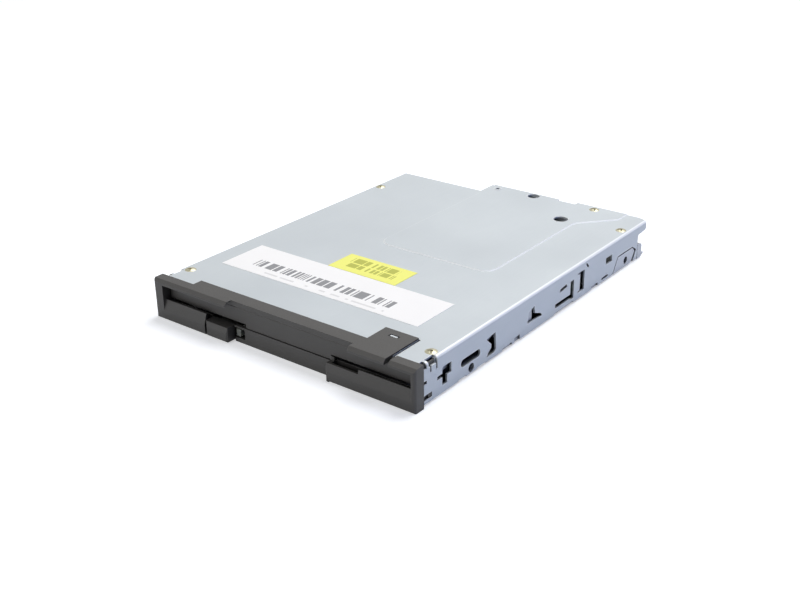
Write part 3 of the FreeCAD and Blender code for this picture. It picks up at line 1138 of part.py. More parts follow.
def make_front_bezel():
    body = piece("front_bezel")
    right = "(chassis_width + bezel_side)"
    inner = "(-bezel_depth + bezel_wall)"
    low = "(-bezel_under)"
    prism(body, "front_block", "YZ_Plane",
          [[("0", low), ("-bezel_depth + bezel_bevel_low", low), (BEZEL_FRONT, f"{low} + bezel_bevel_low"),
            (BEZEL_FRONT, f"{BEZEL_TOP} - bezel_bevel"), ("-bezel_depth + bezel_bevel", BEZEL_TOP),
            ("0", BEZEL_TOP)]],
          ("-bezel_side", right))
    ease(body, "front_corners", "Fillet", "bezel_round",
         lambda edge: runs_along(edge, ALONG_Z) and edge.BoundBox.YMax < -mm("bezel_depth") + 0.01)
    box(body, "hollow", ("slot_left", "slot_right"), (inner, "1"), ("lip_floor", "slot_high"), cut=True)
    box(body, "slot", ("slot_left", "slot_right"), (f"{BEZEL_FRONT} - 1", inner), ("slot_low", "slot_high"),
        cut=True)
    box(body, "upper_recess", ("recess_left", "recess_right"), (f"{BEZEL_FRONT} - 1", "-recess_face"),
        ("slot_low", f"{BEZEL_TOP} + 1"), cut=True)
    box(body, "lower_recess", ("button_left", "recess_low_right"), (f"{BEZEL_FRONT} - 1", "-recess_face"),
        (f"{low} - 1", "slot_low"), cut=True)
    box(body, "recess_side", ("recess_low_right", "recess_low_right + recess_end"),
        (BEZEL_FRONT, "-door_face - door_front_gap"), (low, "slot_low"))
    box(body, "inner_lip", ("button_right", "recess_low_right + recess_end"),
        ("-recess_face", "-recess_face + inner_lip_wall"), (low, "inner_lip_high"))
    ease(body, "recess_rounding", "Fillet", "recess_round",
         lambda edge: runs_along(edge, ALONG_Z) and abs(edge.BoundBox.XMin - mm("recess_low_right")) < 0.01
         and edge.BoundBox.YMax < -mm("bezel_depth") + 0.01 and edge.Length > 2)
    lean = lean_profile(BEZEL_FRONT)
    prism(body, "lip_lean_left", "YZ_Plane", [lean], ("slot_left", "button_left + 1"), cut=True)
    prism(body, "lip_lean_right", "YZ_Plane", [lean], ("recess_low_right - 1", "slot_right"), cut=True)
    box(body, "low_lip", ("recess_low_right - 1", "low_lip_right"), (f"{BEZEL_FRONT} - 1", "-recess_face"),
        ("low_lip_top", "slot_low + 0.1"), cut=True)
    box(body, "button_opening", ("button_left", "button_right"), (f"{BEZEL_FRONT} - 1", "1"),
        (f"{low} - 1", "slot_low"), cut=True)
    prism(body, "band_hollow", "YZ_Plane",
          [[(f"{BEZEL_FRONT} + band_shell", "slot_high - 1"),
            (f"{BEZEL_FRONT} + band_shell", f"{BEZEL_TOP} - bezel_bevel - band_shell / 2"),
            (f"{BEZEL_FRONT} + bezel_bevel + band_shell / 2", f"{BEZEL_TOP} - band_shell"),
            ("-recess_face", f"{BEZEL_TOP} - band_shell"), ("-recess_face", "slot_high - 1")]],
          ("recess_left - band_hollow", "recess_left + 0.1"), cut=True)
    box(body, "dust_wall_left", ("slot_left", "button_left"), ("-dust_wall", "0"),
        ("lip_floor", "door_left_low - dust_wall_gap"))
    box(body, "dust_wall_right", ("door_mid_right + door_gap", "slot_right"), ("-dust_wall", "0"),
        ("lip_floor", "door_right_low - dust_wall_gap"))
    box(body, "lamp_window", ("button_right", "lamp_right"), ("-recess_face - 1", "1"),
        ("lamp_low", "inner_lip_high - lens_inset"), cut=True)
    for name, (start, end) in {"left": ("slot_left - door_pin_reach - pin_seat_play", "slot_left + 0.1"),
                               "right": ("slot_right - 0.1",
                                         "slot_right + door_pin_reach + pin_seat_play")}.items():
        rod(body, "pin_seat_" + name, "x", (DOOR_AXIS_Y, DOOR_AXIS_Z), "door_pin_radius + pin_clearance",
            (start, end), cut=True)
    box(body, "cover_tongue", ("band_left", "latch_left"), ("0", "band_reach"), ("chassis_height", BEZEL_TOP))
    box(body, "snap_tongue", ("latch_left", "latch_right"), ("0", "latch_reach"),
        ("chassis_height", BEZEL_TOP))
    box(body, "snap_window", ("latch_window_left", "latch_window_right"),
        ("latch_window_front", "latch_window_rear"),
        ("chassis_height - 1", f"{BEZEL_TOP} + 1"), cut=True)
    prism(body, "snap_slit", "YZ_Plane",
          [[(f"{BEZEL_FRONT} - 1", "slot_high - 1"), ("-latch_bridge", "slot_high - 1"),
            ("-latch_bridge", "chassis_height - bezel_top"), ("1", "chassis_height - bezel_top"),
            ("1", f"{BEZEL_TOP} + 1"), (f"{BEZEL_FRONT} - 1", f"{BEZEL_TOP} + 1")]],
          ("latch_right", "latch_right + latch_slit"), cut=True)
    for name, (start, end, tip) in {
            "left": (BASE_LEFT, f"{FLANGE_LEFT} + clip_extra", f"{BASE_LEFT} - barb_out"),
            "right": (f"{FLANGE_RIGHT} - clip_extra", BASE_RIGHT, f"{BASE_RIGHT} + barb_out")}.items():
        box(body, "clip_" + name, (start, end), ("-1", "clip_rear - barb_gap"),
            ("clip_low + barb_gap", "clip_high - barb_gap"))
        if name == "left":
            outer = (tip, start)
        else:
            outer = (end, tip)
        box(body, "barb_" + name, outer, ("clip_rear - barb_long", "clip_rear - barb_gap"),
            ("clip_low + barb_gap", "clip_high - barb_gap"))
    for name, span in {"left": (BASE_LEFT, f"{BASE_LEFT} + corner_arm"),
                       "right": (f"{BASE_RIGHT} - corner_arm", BASE_RIGHT)}.items():
        box(body, "corner_arm_" + name, span, ("0", "ear_front - barb_gap"),
            ("riser_step + corner_arm", f"{COVER_UNDER} - barb_gap"))
        box(body, "corner_root_" + name, span, ("-door_face / 2", "corner_arm"),
            ("slot_high", f"{COVER_UNDER} - barb_gap"))


def make_door_flap():
    body = piece("door_flap")
    left = "(slot_left + door_gap)"
    right = "(slot_right - door_gap)"
    back = "(door_thick - door_face)"
    box(body, "left_part", (left, "door_mid_left"), ("-door_face", back), ("door_left_low", DOOR_AXIS_Z))
    box(body, "middle_part", ("door_mid_left", "door_mid_right"), ("-door_face", back),
        ("door_mid_low", DOOR_AXIS_Z))
    box(body, "right_part", ("door_mid_right", right), ("-door_face", back), ("door_right_low", DOOR_AXIS_Z))
    rod(body, "round_top", "x", (DOOR_AXIS_Y, DOOR_AXIS_Z), "door_thick / 2", (left, right))
    box(body, "spring_notch", ("door_spring_left", "door_spring_left + door_spring_wide"), ("-2", "2"),
        (f"{DOOR_AXIS_Z} - door_thick", f"{DOOR_AXIS_Z} + 1"), cut=True)
    rod(body, "spring_core", "x", (DOOR_AXIS_Y, DOOR_AXIS_Z), "door_core_radius",
        ("door_spring_left - 0.1", "door_spring_left + door_spring_wide + 0.1"))
    rod(body, "pin_left", "x", (DOOR_AXIS_Y, DOOR_AXIS_Z), "door_pin_radius",
        ("slot_left - door_pin_reach", left))
    rod(body, "pin_right", "x", (DOOR_AXIS_Y, DOOR_AXIS_Z), "door_pin_radius",
        (right, "slot_right + door_pin_reach"))


def make_disk_holder():
    body = piece("disk_holder")
    left = f"(disk_middle - {HOLDER_HALF})"
    right = f"(disk_middle + {HOLDER_HALF})"
    deep = ("holder_front", "holder_rear")
    floor = f"({HOLDER_FLOOR} - holder_wall)"
    box(body, "roof", (left, right), deep, (HOLDER_CEILING, HOLDER_TOP))
    box(body, "wall_left", (left, f"{left} + holder_wall"), deep, (floor, HOLDER_TOP))
    box(body, "wall_right", (f"{right} - holder_wall", right), deep, (floor, HOLDER_TOP))
    box(body, "lip_left", (left, f"{left} + holder_wall + holder_lip"), deep, (floor, HOLDER_FLOOR))
    box(body, "lip_right", (f"{right} - holder_wall - holder_lip", right), deep, (floor, HOLDER_FLOOR))
    box(body, "head_window", ("disk_middle - head_window_wide / 2", "disk_middle + head_window_wide / 2"),
        ("head_window_front", "holder_rear + 1"), (f"{HOLDER_CEILING} - 1", f"{HOLDER_TOP} + 1"), cut=True)
    rod(body, "spindle_window", "z", ("disk_middle", "spindle_deep"), "spindle_window",
        (f"{HOLDER_CEILING} - 1", f"{HOLDER_TOP} + 1"), cut=True)
    slits = []
    for middle in ("(disk_middle - holder_spring_out)", "(disk_middle + holder_spring_out)"):
        left_in = f"({middle} - holder_spring_wide / 2)"
        right_in = f"({middle} + holder_spring_wide / 2)"
        end = "(holder_spring_front + holder_spring_long)"
        slits.append([(f"{left_in} - holder_spring_slit", "holder_spring_front"),
                      (left_in, "holder_spring_front"),
                      (left_in, end), (right_in, end), (right_in, "holder_spring_front"),
                      (f"{right_in} + holder_spring_slit", "holder_spring_front"),
                      (f"{right_in} + holder_spring_slit", f"{end} + holder_spring_slit"),
                      (f"{left_in} - holder_spring_slit", f"{end} + holder_spring_slit")])
    prism(body, "tongue_slits", "XY_Plane", slits, (f"{HOLDER_CEILING} - 1", f"{HOLDER_TOP} + 1"), cut=True)
    for name in ("left", "right"):
        across = f"post_{name}"
        deep_at = f"post_{name}_deep"
        box(body, "guide_tongue_" + name, (f"{across} - post_margin", f"{across} + post_margin"),
            ("holder_rear - 1", f"{deep_at} + post_margin"), (HOLDER_CEILING, HOLDER_TOP))
        rod(body, "guide_hole_" + name, "z", (across, deep_at), "post_radius + pin_clearance",
            (f"{HOLDER_CEILING} - 1", f"{HOLDER_TOP} + 1"), cut=True)


def make_holder_pins():
    body = piece("holder_pins")
    for side, sign in {"left": "-", "right": "+"}.items():
        inner = f"disk_middle {sign} {HOLDER_HALF}"
        outer = f"disk_middle {sign} {SLIDER_HALF}"
        span = (outer, inner) if side == "left" else (inner, outer)
        for deep in ("pin_front", "pin_rear"):
            rod(body, f"pin_{side}", "x", (deep, "pin_height"), "pin_radius", span)


def make_guide_posts():
    body = piece("guide_posts")
    for name in ("left", "right"):
        rod(body, "post_" + name, "z", (f"post_{name}", f"post_{name}_deep"), "post_radius",
            ("base_wall", f"{SLIDER_TOP} - fold_gap"))


def make_eject_slider():
    body = piece("eject_slider")
    left = f"(disk_middle - {SLIDER_HALF})"
    right = f"(disk_middle + {SLIDER_HALF})"
    plate = (SLIDER_LOW, SLIDER_TOP)
    box(body, "bridge", (left, right), ("slider_front", "slider_front + slider_bridge"), plate)
    box(body, "strip_left", (left, f"{left} + slider_strip"), ("slider_front", "slider_rear"), plate)
    box(body, "strip_right", (f"{right} - slider_strip", right), ("slider_front", "slider_rear"), plate)
    for side, span in {"left": (left, f"{left} + slider_wall"),
                       "right": (f"{right} - slider_wall", right)}.items():
        box(body, f"front_ear_{side}", span, ("slider_front", "ear_front_end"), ("ear_low", SLIDER_TOP))
        box(body, f"rear_ear_{side}", span, ("ear_rear_start", "slider_rear"), ("ear_low", SLIDER_TOP))
        box(body, f"spring_link_{side}", span,
            ("spring_foot_front", "spring_foot_front + 2 * spring_foot_long"),
            ("spring_foot_low", SLIDER_TOP))
    box(body, "spring_foot_left", (left, "spring_foot_reach"),
        ("spring_foot_front", "spring_foot_front + spring_foot_long"),
        ("spring_foot_low", "spring_foot_high"))
    box(body, "spring_foot_right", ("2 * disk_middle - spring_foot_reach", right),
        ("spring_foot_front", "spring_foot_front + spring_foot_long"),
        ("spring_foot_low", "spring_foot_high"))
    prism(body, "spring_pegs", "XY_Plane",
        [ring(across, SPRING_PEG_DEEP, "spring_peg") for across in SPRING_LINES],
          ("spring_axis - spring_peg_past", "(spring_foot_low + spring_foot_high) / 2"))
    box(body, "button_riser", (left, f"{left} + slider_wall"), ("slider_front", "slider_front + 4"),
        ("arm_low", SLIDER_TOP))
    box(body, "button_runner", (left, f"{left} + slider_wall"), ("arm_front", "slider_front + 4"),
        ("arm_low", "arm_low + 3 * arm_thick"))
    box(body, "button_arm", (left, "button_right - button_gap - stem_inset"), ("arm_front", "arm_rear"),
        ("arm_low", "arm_low + arm_thick"))
    width = "(2 * (pin_radius + pin_slot_gap))"
    length = "sqrt(slider_travel * slider_travel + disk_drop * disk_drop)"
    for side, span in {"left": (f"{left} - 1", f"{left} + slider_wall + 0.1"),
                       "right": (f"{right} - slider_wall - 0.1", f"{right} + 1")}.items():
        for deep in ("pin_front", "pin_rear"):
            rod(body, "slot_high_end", "x", (deep, "pin_height"), f"{width} / 2", span, cut=True)
            rod(body, "slot_low_end", "x", (f"{deep} + slider_travel", "pin_height - disk_drop"),
                f"{width} / 2", span,
                cut=True)
            across = f"({width} / 2 * disk_drop / {length})"
            upward = f"({width} / 2 * slider_travel / {length})"
            prism(body, f"slot_run_{side}", "YZ_Plane",
                  [[(f"{deep} - {across}", f"pin_height - {upward}"),
                    (f"{deep} + slider_travel - {across}", f"pin_height - disk_drop - {upward}"),
                    (f"{deep} + slider_travel + {across}", f"pin_height - disk_drop + {upward}"),
                    (f"{deep} + {across}", f"pin_height + {upward}")]], span, cut=True)
    rod(body, "rivet_hole", "z", (button_rivet_across(), button_rivet_deep()), "rivet_radius + screw_fit",
        ("arm_low - 1", "arm_low + arm_thick + 1"), cut=True)


def button_rivet_across():
    return "(button_left + button_right) / 2"


def button_rivet_deep():
    return "(arm_front + arm_rear) / 2"


def make_eject_button():
    body = piece("eject_button")
    left = "(button_left + button_gap)"
    right = "(button_right - button_gap)"
    front = "(-bezel_depth - button_proud)"
    prism(body, "head", "XY_Plane",
          [[(left, "-button_back"), (left, f"{front} + button_bevel"), (f"{left} + button_bevel", front),
            (f"{right} - button_bevel / 2", front), (right, f"{front} + button_bevel / 2"),
            (right, "-button_back")]],
          ("button_low", "button_high"))
    ease(body, "head_edges", "Chamfer", "button_bevel / 3",
         lambda edge: runs_along(edge, ALONG_X) and edge.BoundBox.YMax < -mm("bezel_depth"))
    prism(body, "head_lean", "YZ_Plane", [lean_profile(front)], ("button_left - 1", "button_right + 1"),
        cut=True)
    box(body, "stem", (f"{left} + stem_inset", f"{right} - stem_inset"), ("-button_back", "arm_rear"),
        ("arm_low + arm_thick", "stem_high"))
    rod(body, "rivet_seat", "z", (button_rivet_across(), button_rivet_deep()), "rivet_radius + screw_fit",
        ("arm_low", "stem_high + 1"), cut=True)


def make_button_rivet():
    body = piece("button_rivet")
    rod(body, "shank", "z", (button_rivet_across(), button_rivet_deep()), "rivet_radius",
        ("arm_low", "stem_high"))
    rod(body, "top", "z", (button_rivet_across(), button_rivet_deep()), "2 * rivet_radius",
        ("stem_high", "stem_high + rivet_rise"))


def make_indicator():
    lens = piece("indicator_lens")
    left = "(button_right + lens_inset)"
    right = "(button_right + lens_inset + lens_wide)"
    box(lens, "pipe", (left, right), ("-recess_face + lens_back", "lens_rear"), ("lens_low", "lens_high"))
    box(lens, "foot", (left, right), ("lens_rear - lens_foot", "lens_rear"), ("base_wall", "lens_high"))
    board = piece("lamp_board")
    box(board, "board", (f"{left} - 1", f"{left} + lamp_board_wide"),
        ("lens_rear + lamp_gap", "lamp_board_rear"),
        ("base_wall", "base_wall + board_thick"))
    box(board, "lamp", (f"{left} - lens_back", f"{right} + lens_back"),
        ("lens_rear + lamp_gap", "lens_rear + lamp_gap + lens_wide"),
        ("base_wall", "lens_high"))


def spindle_piece(label):
    """A body that is drawn about the spindle's axis."""
    return piece(label, "disk_middle", "spindle_deep")


def turned(body, name, radius, span, cut=False):
    """Adds or cuts a cylinder about the body's own upright axis."""
    return rod(body, name, "z", ("0", "0"), radius, span, cut)


def make_motor_board():
    board = spindle_piece("motor_board")
    span = ("base_wall", "base_wall + board_thick")
    tail_end = "motor_board_radius + motor_board_tail"
    turned(board, "disc", "motor_board_radius", span)
    box(board, "tail", ("0", tail_end), ("-motor_tail_half", "motor_tail_half"), span)
    box(board, "tail_plug", ("motor_board_radius + 4", f"{tail_end} - 2"),
        ("-motor_plug_half", "motor_plug_half"),
        ("base_wall", "base_wall + board_thick + 1"))
    holes = [ring("0", "0", "sleeve_radius + fold_gap")]
    for across, deep in MOTOR_SCREWS:
        holes.append(ring(f"{across} - disk_middle", f"{deep} - spindle_deep", "tiny_screw + screw_fit"))
    prism(board, "holes", "XY_Plane", holes, ("-1", "base_wall + board_thick + 1"), cut=True)

    flex = spindle_piece("motor_flex")
    sheet_top = "(base_wall + board_thick + flex_thick)"
    prism(flex, "ribbon", "YZ_Plane",
          [[("motor_plug_half", "base_wall + board_thick"),
            ("board_front - spindle_deep - 4", "base_wall + board_thick"),
            ("board_front - spindle_deep - 1", "board_low + board_thick"),
            ("board_front - spindle_deep + 2", BOARD_TOP),
            ("board_front - spindle_deep + 2", f"{BOARD_TOP} + flex_thick"),
            ("board_front - spindle_deep - 1", f"{BOARD_TOP} + flex_thick"),
            ("board_front - spindle_deep - 4", sheet_top), ("motor_plug_half", sheet_top)]],
          ("motor_board_radius + motor_plug_half", f"{tail_end} - 3"))


def make_stator():
    sleeve = spindle_piece("bearing_sleeve")
    turned(sleeve, "barrel", "sleeve_radius", ("sleeve_foot", "sleeve_top"))
    turned(sleeve, "shoulder", "sleeve_shoulder", ("base_wall + board_thick", "stator_low"))
    turned(sleeve, "bore", "shaft_radius + shaft_fit", ("shaft_foot - fold_gap", "sleeve_top + 1"), cut=True)

    core = spindle_piece("stator_core")
    span = ("stator_low", "stator_low + stator_thick")
    turned(core, "disc", "stator_ring", span)
    tooth = box(core, "tooth", ("0", "stator_tip"), ("-stator_tooth / 2", "stator_tooth / 2"), span)
    tip = box(core, "tooth_tip", ("coil_end + stator_tip_gap", "stator_tip"),
              ("-stator_tip_wide / 2", "stator_tip_wide / 2"), span)
    around(core, "teeth", [tooth, tip], "stator_count")
    turned(core, "middle_hole", "sleeve_radius + fold_gap", ("stator_low - 1", "sleeve_top"), cut=True)

    coils = spindle_piece("stator_coils")
    over = "(coil_high - stator_thick) / 2"
    winding = box(coils, "winding", ("coil_start", "coil_end"), ("-coil_wide / 2", "coil_wide / 2"),
                  (f"stator_low - {over}", f"stator_low + stator_thick + {over}"))
    bore = box(coils, "winding_bore", ("coil_start - 1", "coil_end + 1"),
               ("-stator_tooth / 2 - coil_gap", "stator_tooth / 2 + coil_gap"),
               ("stator_low - coil_gap", "stator_low + stator_thick + coil_gap"), cut=True)
    around(coils, "windings", [winding, bore], "stator_count")


def make_rotor():
    cup = spindle_piece("rotor_cup")
    turned(cup, "outside", "rotor_radius", ("rotor_low", "rotor_top"))
    turned(cup, "inside", "rotor_radius - rotor_wall", ("rotor_low - 1", "rotor_top - rotor_plate"), cut=True)
    turned(cup, "shaft_hole", "shaft_radius + fold_gap", ("0", "rotor_top + 1"), cut=True)
    vent = rod(cup, "vent_hole", "z", ("rotor_radius - rotor_hole_in", "0"), "rotor_hole_radius",
               ("0", "rotor_top + 1"), cut=True)
    around(cup, "vent_holes", [vent], "rotor_holes")

    magnet = spindle_piece("rotor_magnet")
    turned(magnet, "outside", "rotor_radius - rotor_wall", ("rotor_low", "rotor_top - rotor_plate"))
    turned(magnet, "inside", "rotor_radius - rotor_wall - magnet_wall", ("0", "rotor_top"), cut=True)

    hub = spindle_piece("spindle_hub")
    hub_top = "(rotor_top + hub_thick)"
    turned(hub, "disc", "hub_radius", ("rotor_top", hub_top))
    turned(hub, "groove", "chuck_outer", (f"{hub_top} - chuck_thick", f"{hub_top} + 1"), cut=True)
    turned(hub, "core", "chuck_inner", ("rotor_top", hub_top))
    turned(hub, "shaft_hole", "shaft_radius", ("0", f"{hub_top} + 1"), cut=True)

    chuck = spindle_piece("chuck_magnet")
    turned(chuck, "ring", "chuck_outer", (f"{hub_top} - chuck_thick", hub_top))
    turned(chuck, "hole", "chuck_inner", ("0", f"{hub_top} + 1"), cut=True)

    shaft = spindle_piece("spindle_shaft")
    turned(shaft, "rod", "shaft_radius", ("shaft_foot", "shaft_top"))
    ease(shaft, "nose", "Chamfer", "shaft_radius / 5",
        lambda edge: edge.BoundBox.ZMin > mm("shaft_top") - 0.01)

    pin = spindle_piece("drive_pin")
    rod(pin, "pin", "z", ("0", "drive_pin_out"), "drive_pin_radius", (hub_top, f"{hub_top} + drive_pin_high"))


def make_head_carriage():
    body = piece("head_carriage")
    low = ("carriage_low", "carriage_low + carriage_thick")
    box(body, "block", ("block_left", "block_right"), ("block_front", "block_rear"),
        ("block_low", "block_high"))
    box(body, "arm", ("disk_middle - carriage_arm_wide / 2", "disk_middle + carriage_arm_wide / 2"),
        (f"{HEAD_DEEP} - head_nose", "block_front"), low)
    for side, (left, right) in {
            "left": ("disk_middle - arm_wide / 2 - arm_ear_gap - arm_ear",
                     "disk_middle - arm_wide / 2 - arm_ear_gap"),
            "right": ("disk_middle + arm_wide / 2 + arm_ear_gap",
                      "disk_middle + arm_wide / 2 + arm_ear_gap + arm_ear"),
    }.items():
        box(body, "hinge_ear_" + side, (left, right),
            ("arm_axis_deep - arm_ear_half", "arm_axis_deep + arm_ear_half"),
            ("block_high", "arm_axis_high + arm_ear_rise"))
    rod(body, "hinge_bore", "x", ("arm_axis_deep", "arm_axis_high"), "arm_pin_radius",
        ("block_left", "block_right"), cut=True)
    rod(body, "rod_bore", "y", ("rod_across", "rod_height"), "rod_radius + pin_clearance",
        ("block_front - 1", "block_rear + 1"), cut=True)
    box(body, "flag_arm", ("block_left - flag_reach", "block_left"),
        ("block_rear - 3 * flag_wide", "block_rear - 2 * flag_wide"),
        ("block_high - flag_wide / 2", "block_high"))
    box(body, "flag", ("block_left - flag_reach", "block_left - flag_reach + flag_thick"),
        ("block_rear - 3 * flag_wide", "block_rear - 2 * flag_wide"),
        ("rod_height", "block_high"))

    lower = piece("lower_head")
    box(lower, "slider_pad", ("disk_middle - head_size / 2", "disk_middle + head_size / 2"),
        (f"{HEAD_DEEP} - head_size / 2", f"{HEAD_DEEP} + head_size / 2"),
        ("carriage_low + carriage_thick", "head_lower_top"))
    ease(lower, "pad_edges", "Chamfer", "head_size / 10",
         lambda edge: edge.BoundBox.ZMin > mm("head_lower_top") - 0.01)

    follower = piece("screw_follower")
    box(follower, "blade", ("block_right", "screw_across - lead_root - follower_gap"),
        ("follower_middle - follower_wide / 2", "follower_middle + follower_wide / 2"),
        ("screw_height - follower_thick / 2", "screw_height + follower_thick / 2"))
    box(follower, "foot", ("block_right", "block_right + follower_thick"),
        ("follower_middle - follower_wide / 2", "follower_middle + follower_rear"),
        ("screw_height - follower_drop", "screw_height + follower_thick / 2"))

    pin = piece("arm_pin")
    rod(pin, "pin", "x", ("arm_axis_deep", "arm_axis_high"), "arm_pin_radius",
        ("disk_middle - arm_wide / 2 - arm_ear_gap - arm_ear",
         "disk_middle + arm_wide / 2 + arm_ear_gap + arm_ear"))


ARM_REACH = "(arm_axis_deep - spindle_deep - track_first)"
UPPER_PLATE_LOW = "(head_lower_top + head_gap - arm_axis_high + arm_rib)"


def make_upper_arm():
    body = turned_piece("upper_arm", -ALONG_X, "arm_lift", "disk_middle", "arm_axis_deep", "arm_axis_high")
    half = "arm_wide / 2"
    plate = (UPPER_PLATE_LOW, f"{UPPER_PLATE_LOW} + arm_plate")
    box(body, "plate", (f"-{half}", half), (f"-{ARM_REACH} - head_nose / 1.6", "-arm_barrel / 2"), plate)
    for side, span in {"left": (f"-{half}", f"-{half} + arm_rib"),
                       "right": (f"{half} - arm_rib", half)}.items():
        box(body, "rib_" + side, span, (f"-{ARM_REACH} - head_nose / 1.6", "-arm_barrel"),
            (UPPER_PLATE_LOW, f"{UPPER_PLATE_LOW} + arm_plate + arm_rib / 2"))
    rod(body, "barrel", "x", ("0", "0"), "arm_barrel", (f"-{half}", half))
    rod(body, "barrel_bore", "x", ("0", "0"), "arm_pin_radius + pin_clearance",
        (f"-{half} - 1", f"{half} + 1"), cut=True)

    head = turned_piece("upper_head", -ALONG_X, "arm_lift", "disk_middle", "arm_axis_deep", "arm_axis_high")
    box(head, "slider_pad", ("-head_size / 2", "head_size / 2"),
        (f"-{ARM_REACH} - head_size / 2", f"-{ARM_REACH} + head_size / 2"),
        (f"{UPPER_PLATE_LOW} - arm_rib", UPPER_PLATE_LOW))

    leaf = turned_piece("arm_spring", -ALONG_X, "arm_lift", "disk_middle", "arm_axis_deep", "arm_axis_high")
    box(leaf, "leaf", ("-arm_leaf_wide / 2", "arm_leaf_wide / 2"), (f"-{ARM_REACH} + 4", "-3 * arm_barrel"),
        (f"{UPPER_PLATE_LOW} + arm_plate", f"{UPPER_PLATE_LOW} + arm_plate + 0.2"))


def make_guide_rod():
    body = piece("guide_rod")
    rod(body, "rod", "y", ("rod_across", "rod_height"), "rod_radius", ("rod_front", "rod_rear"))
    clamps = piece("rod_clamps")
    for name, (front, rear) in {"front": ("rod_front", "rod_front + clamp_long"),
                                "rear": ("rod_rear - clamp_long", "rod_rear")}.items():
        box(clamps, "clamp_" + name, ("rod_across - clamp_wide / 2", "rod_across + clamp_wide / 2"),
            (front, rear),
            ("base_wall", "clamp_high"))
    rod(clamps, "clamp_bore", "y", ("rod_across", "rod_height"), "rod_radius",
        ("rod_front - 1", "rod_rear + 1"), cut=True)


def make_stepper():
    motor = piece("stepper_motor")
    rod(motor, "can", "y", ("screw_across", "screw_height"), "stepper_radius",
        ("stepper_front", "stepper_rear"))
    ease(motor, "can_edges", "Chamfer", "stepper_radius / 12",
        lambda edge: edge.Length > mm("stepper_radius"))
    rod(motor, "nose_bore", "y", ("screw_across", "screw_height"), "lead_radius",
        ("stepper_front - 1", "stepper_front + 2"), cut=True)

    bracket = piece("stepper_bracket")
    left = "(screw_across - bracket_wide / 2 + bracket_offset)"
    right = "(screw_across + bracket_wide / 2 + bracket_offset)"
    front = "(lead_front - journal_long)"
    box(bracket, "foot", (left, right), (front, "stepper_front"), ("base_wall", "2 * base_wall"))
    box(bracket, "front_plate", (left, right), (front, f"{front} + bracket_wall"),
        ("base_wall", "bracket_high"))
    box(bracket, "rear_plate", (left, right), ("stepper_front - bracket_wall", "stepper_front"),
        ("base_wall", "bracket_high"))
    prism(bracket, "foot_holes", "XY_Plane",
          [ring(across, deep, "tiny_screw + screw_fit") for across, deep in BRACKET_SCREWS],
          ("0", "3 * base_wall"), cut=True)
    rod(bracket, "front_bearing", "y", ("screw_across", "screw_height"), "journal_radius + pin_clearance",
        (f"{front} - 1", f"{front} + 2"), cut=True)
    rod(bracket, "rear_bearing", "y", ("screw_across", "screw_height"), "lead_radius + lead_play",
        ("stepper_front - 2", "stepper_front + 1"), cut=True)


def quarter_turn_path(radius, pitch, turns, start, axis):
    """A helix about an axis as a chain of arcs, each a quarter of a turn."""

    def at(quarter):
        angle = quarter * math.pi / 2
        along = start + pitch * quarter / 4
        flat = (radius * math.cos(angle), radius * math.sin(angle))
        if axis == ALONG_Y:
            return Vector(flat[0], along, -flat[1])
        if axis == ALONG_X:
            return Vector(along, flat[0], flat[1])
        return Vector(flat[0], flat[1], along)

    edges = []
    for i in range(int(round(turns * 4))):
        edges.append(Part.Arc(at(i), at(i + 0.5), at(i + 1)).toShape())
    return Part.Wire(edges)


def make_lead_screw():
    """The screw's groove is a chain of quarter turns, swept with a round cutter."""
    radius = mm("lead_radius")
    root = mm("lead_root")
    pitch = mm("lead_pitch")
    start = mm("lead_front")
    end = mm("lead_rear")
    journal = Part.makeCylinder(mm("journal_radius"), mm("journal_long"),
                                Vector(0, start - mm("journal_long"), 0), ALONG_Y)
    core = Part.makeCylinder(radius, end - start, Vector(0, start, 0), ALONG_Y)
    tail = Part.makeCylinder(radius - 0.1, mm("stepper_front") + 1.9 - end, Vector(0, end, 0), ALONG_Y)
    cutter = mm("groove_radius")
    facing = mm("follower_middle") - pitch / 2
    first = facing - pitch * int((facing - start) / pitch)
    turns = int((end - first) / pitch * 4) / 4
    path = quarter_turn_path(root + cutter, pitch, turns, first, ALONG_Y)
    circle = Part.Circle(path.Vertexes[0].Point, path.Edges[0].tangentAt(path.Edges[0].FirstParameter),
                         cutter)
    groove = Part.Wire(path.Edges).makePipeShell([Part.Wire([circle.toShape()])], True, False)
    shape = core.cut(groove).fuse([journal, tail])
    add_feature("lead_screw", shape.removeSplitter(), Vector(mm("screw_across"), 0, mm("screw_height")))


def on_helix(axis, radius, turn, along):
    """A point so many turns round an axis from its start, at a distance along the axis."""
    across = radius * math.cos(2 * math.pi * turn)
    deep = radius * math.sin(2 * math.pi * turn)
    if axis == ALONG_Y:
        return Vector(across, along, -deep)
    if axis == ALONG_X:
        return Vector(along, across, deep)
    return Vector(across, deep, along)


def twist_spring_line(axis, radius, rise, turns, leg):
    """The line of a twisting spring's wire: its turns, and a straight leg at each end."""
    count = int(turns * STEPS_PER_TURN)
    turned = [on_helix(axis, radius, i / STEPS_PER_TURN, rise * i / STEPS_PER_TURN) for i in range(count + 1)]
    into = (turned[0] - turned[1]).normalize() * leg
    out = (turned[-1] - turned[-2]).normalize() * leg
    first_leg = [turned[0] + into, turned[0] + into / 2]
    last_leg = [turned[-1] + out / 2, turned[-1] + out]
    return first_leg + turned + last_leg


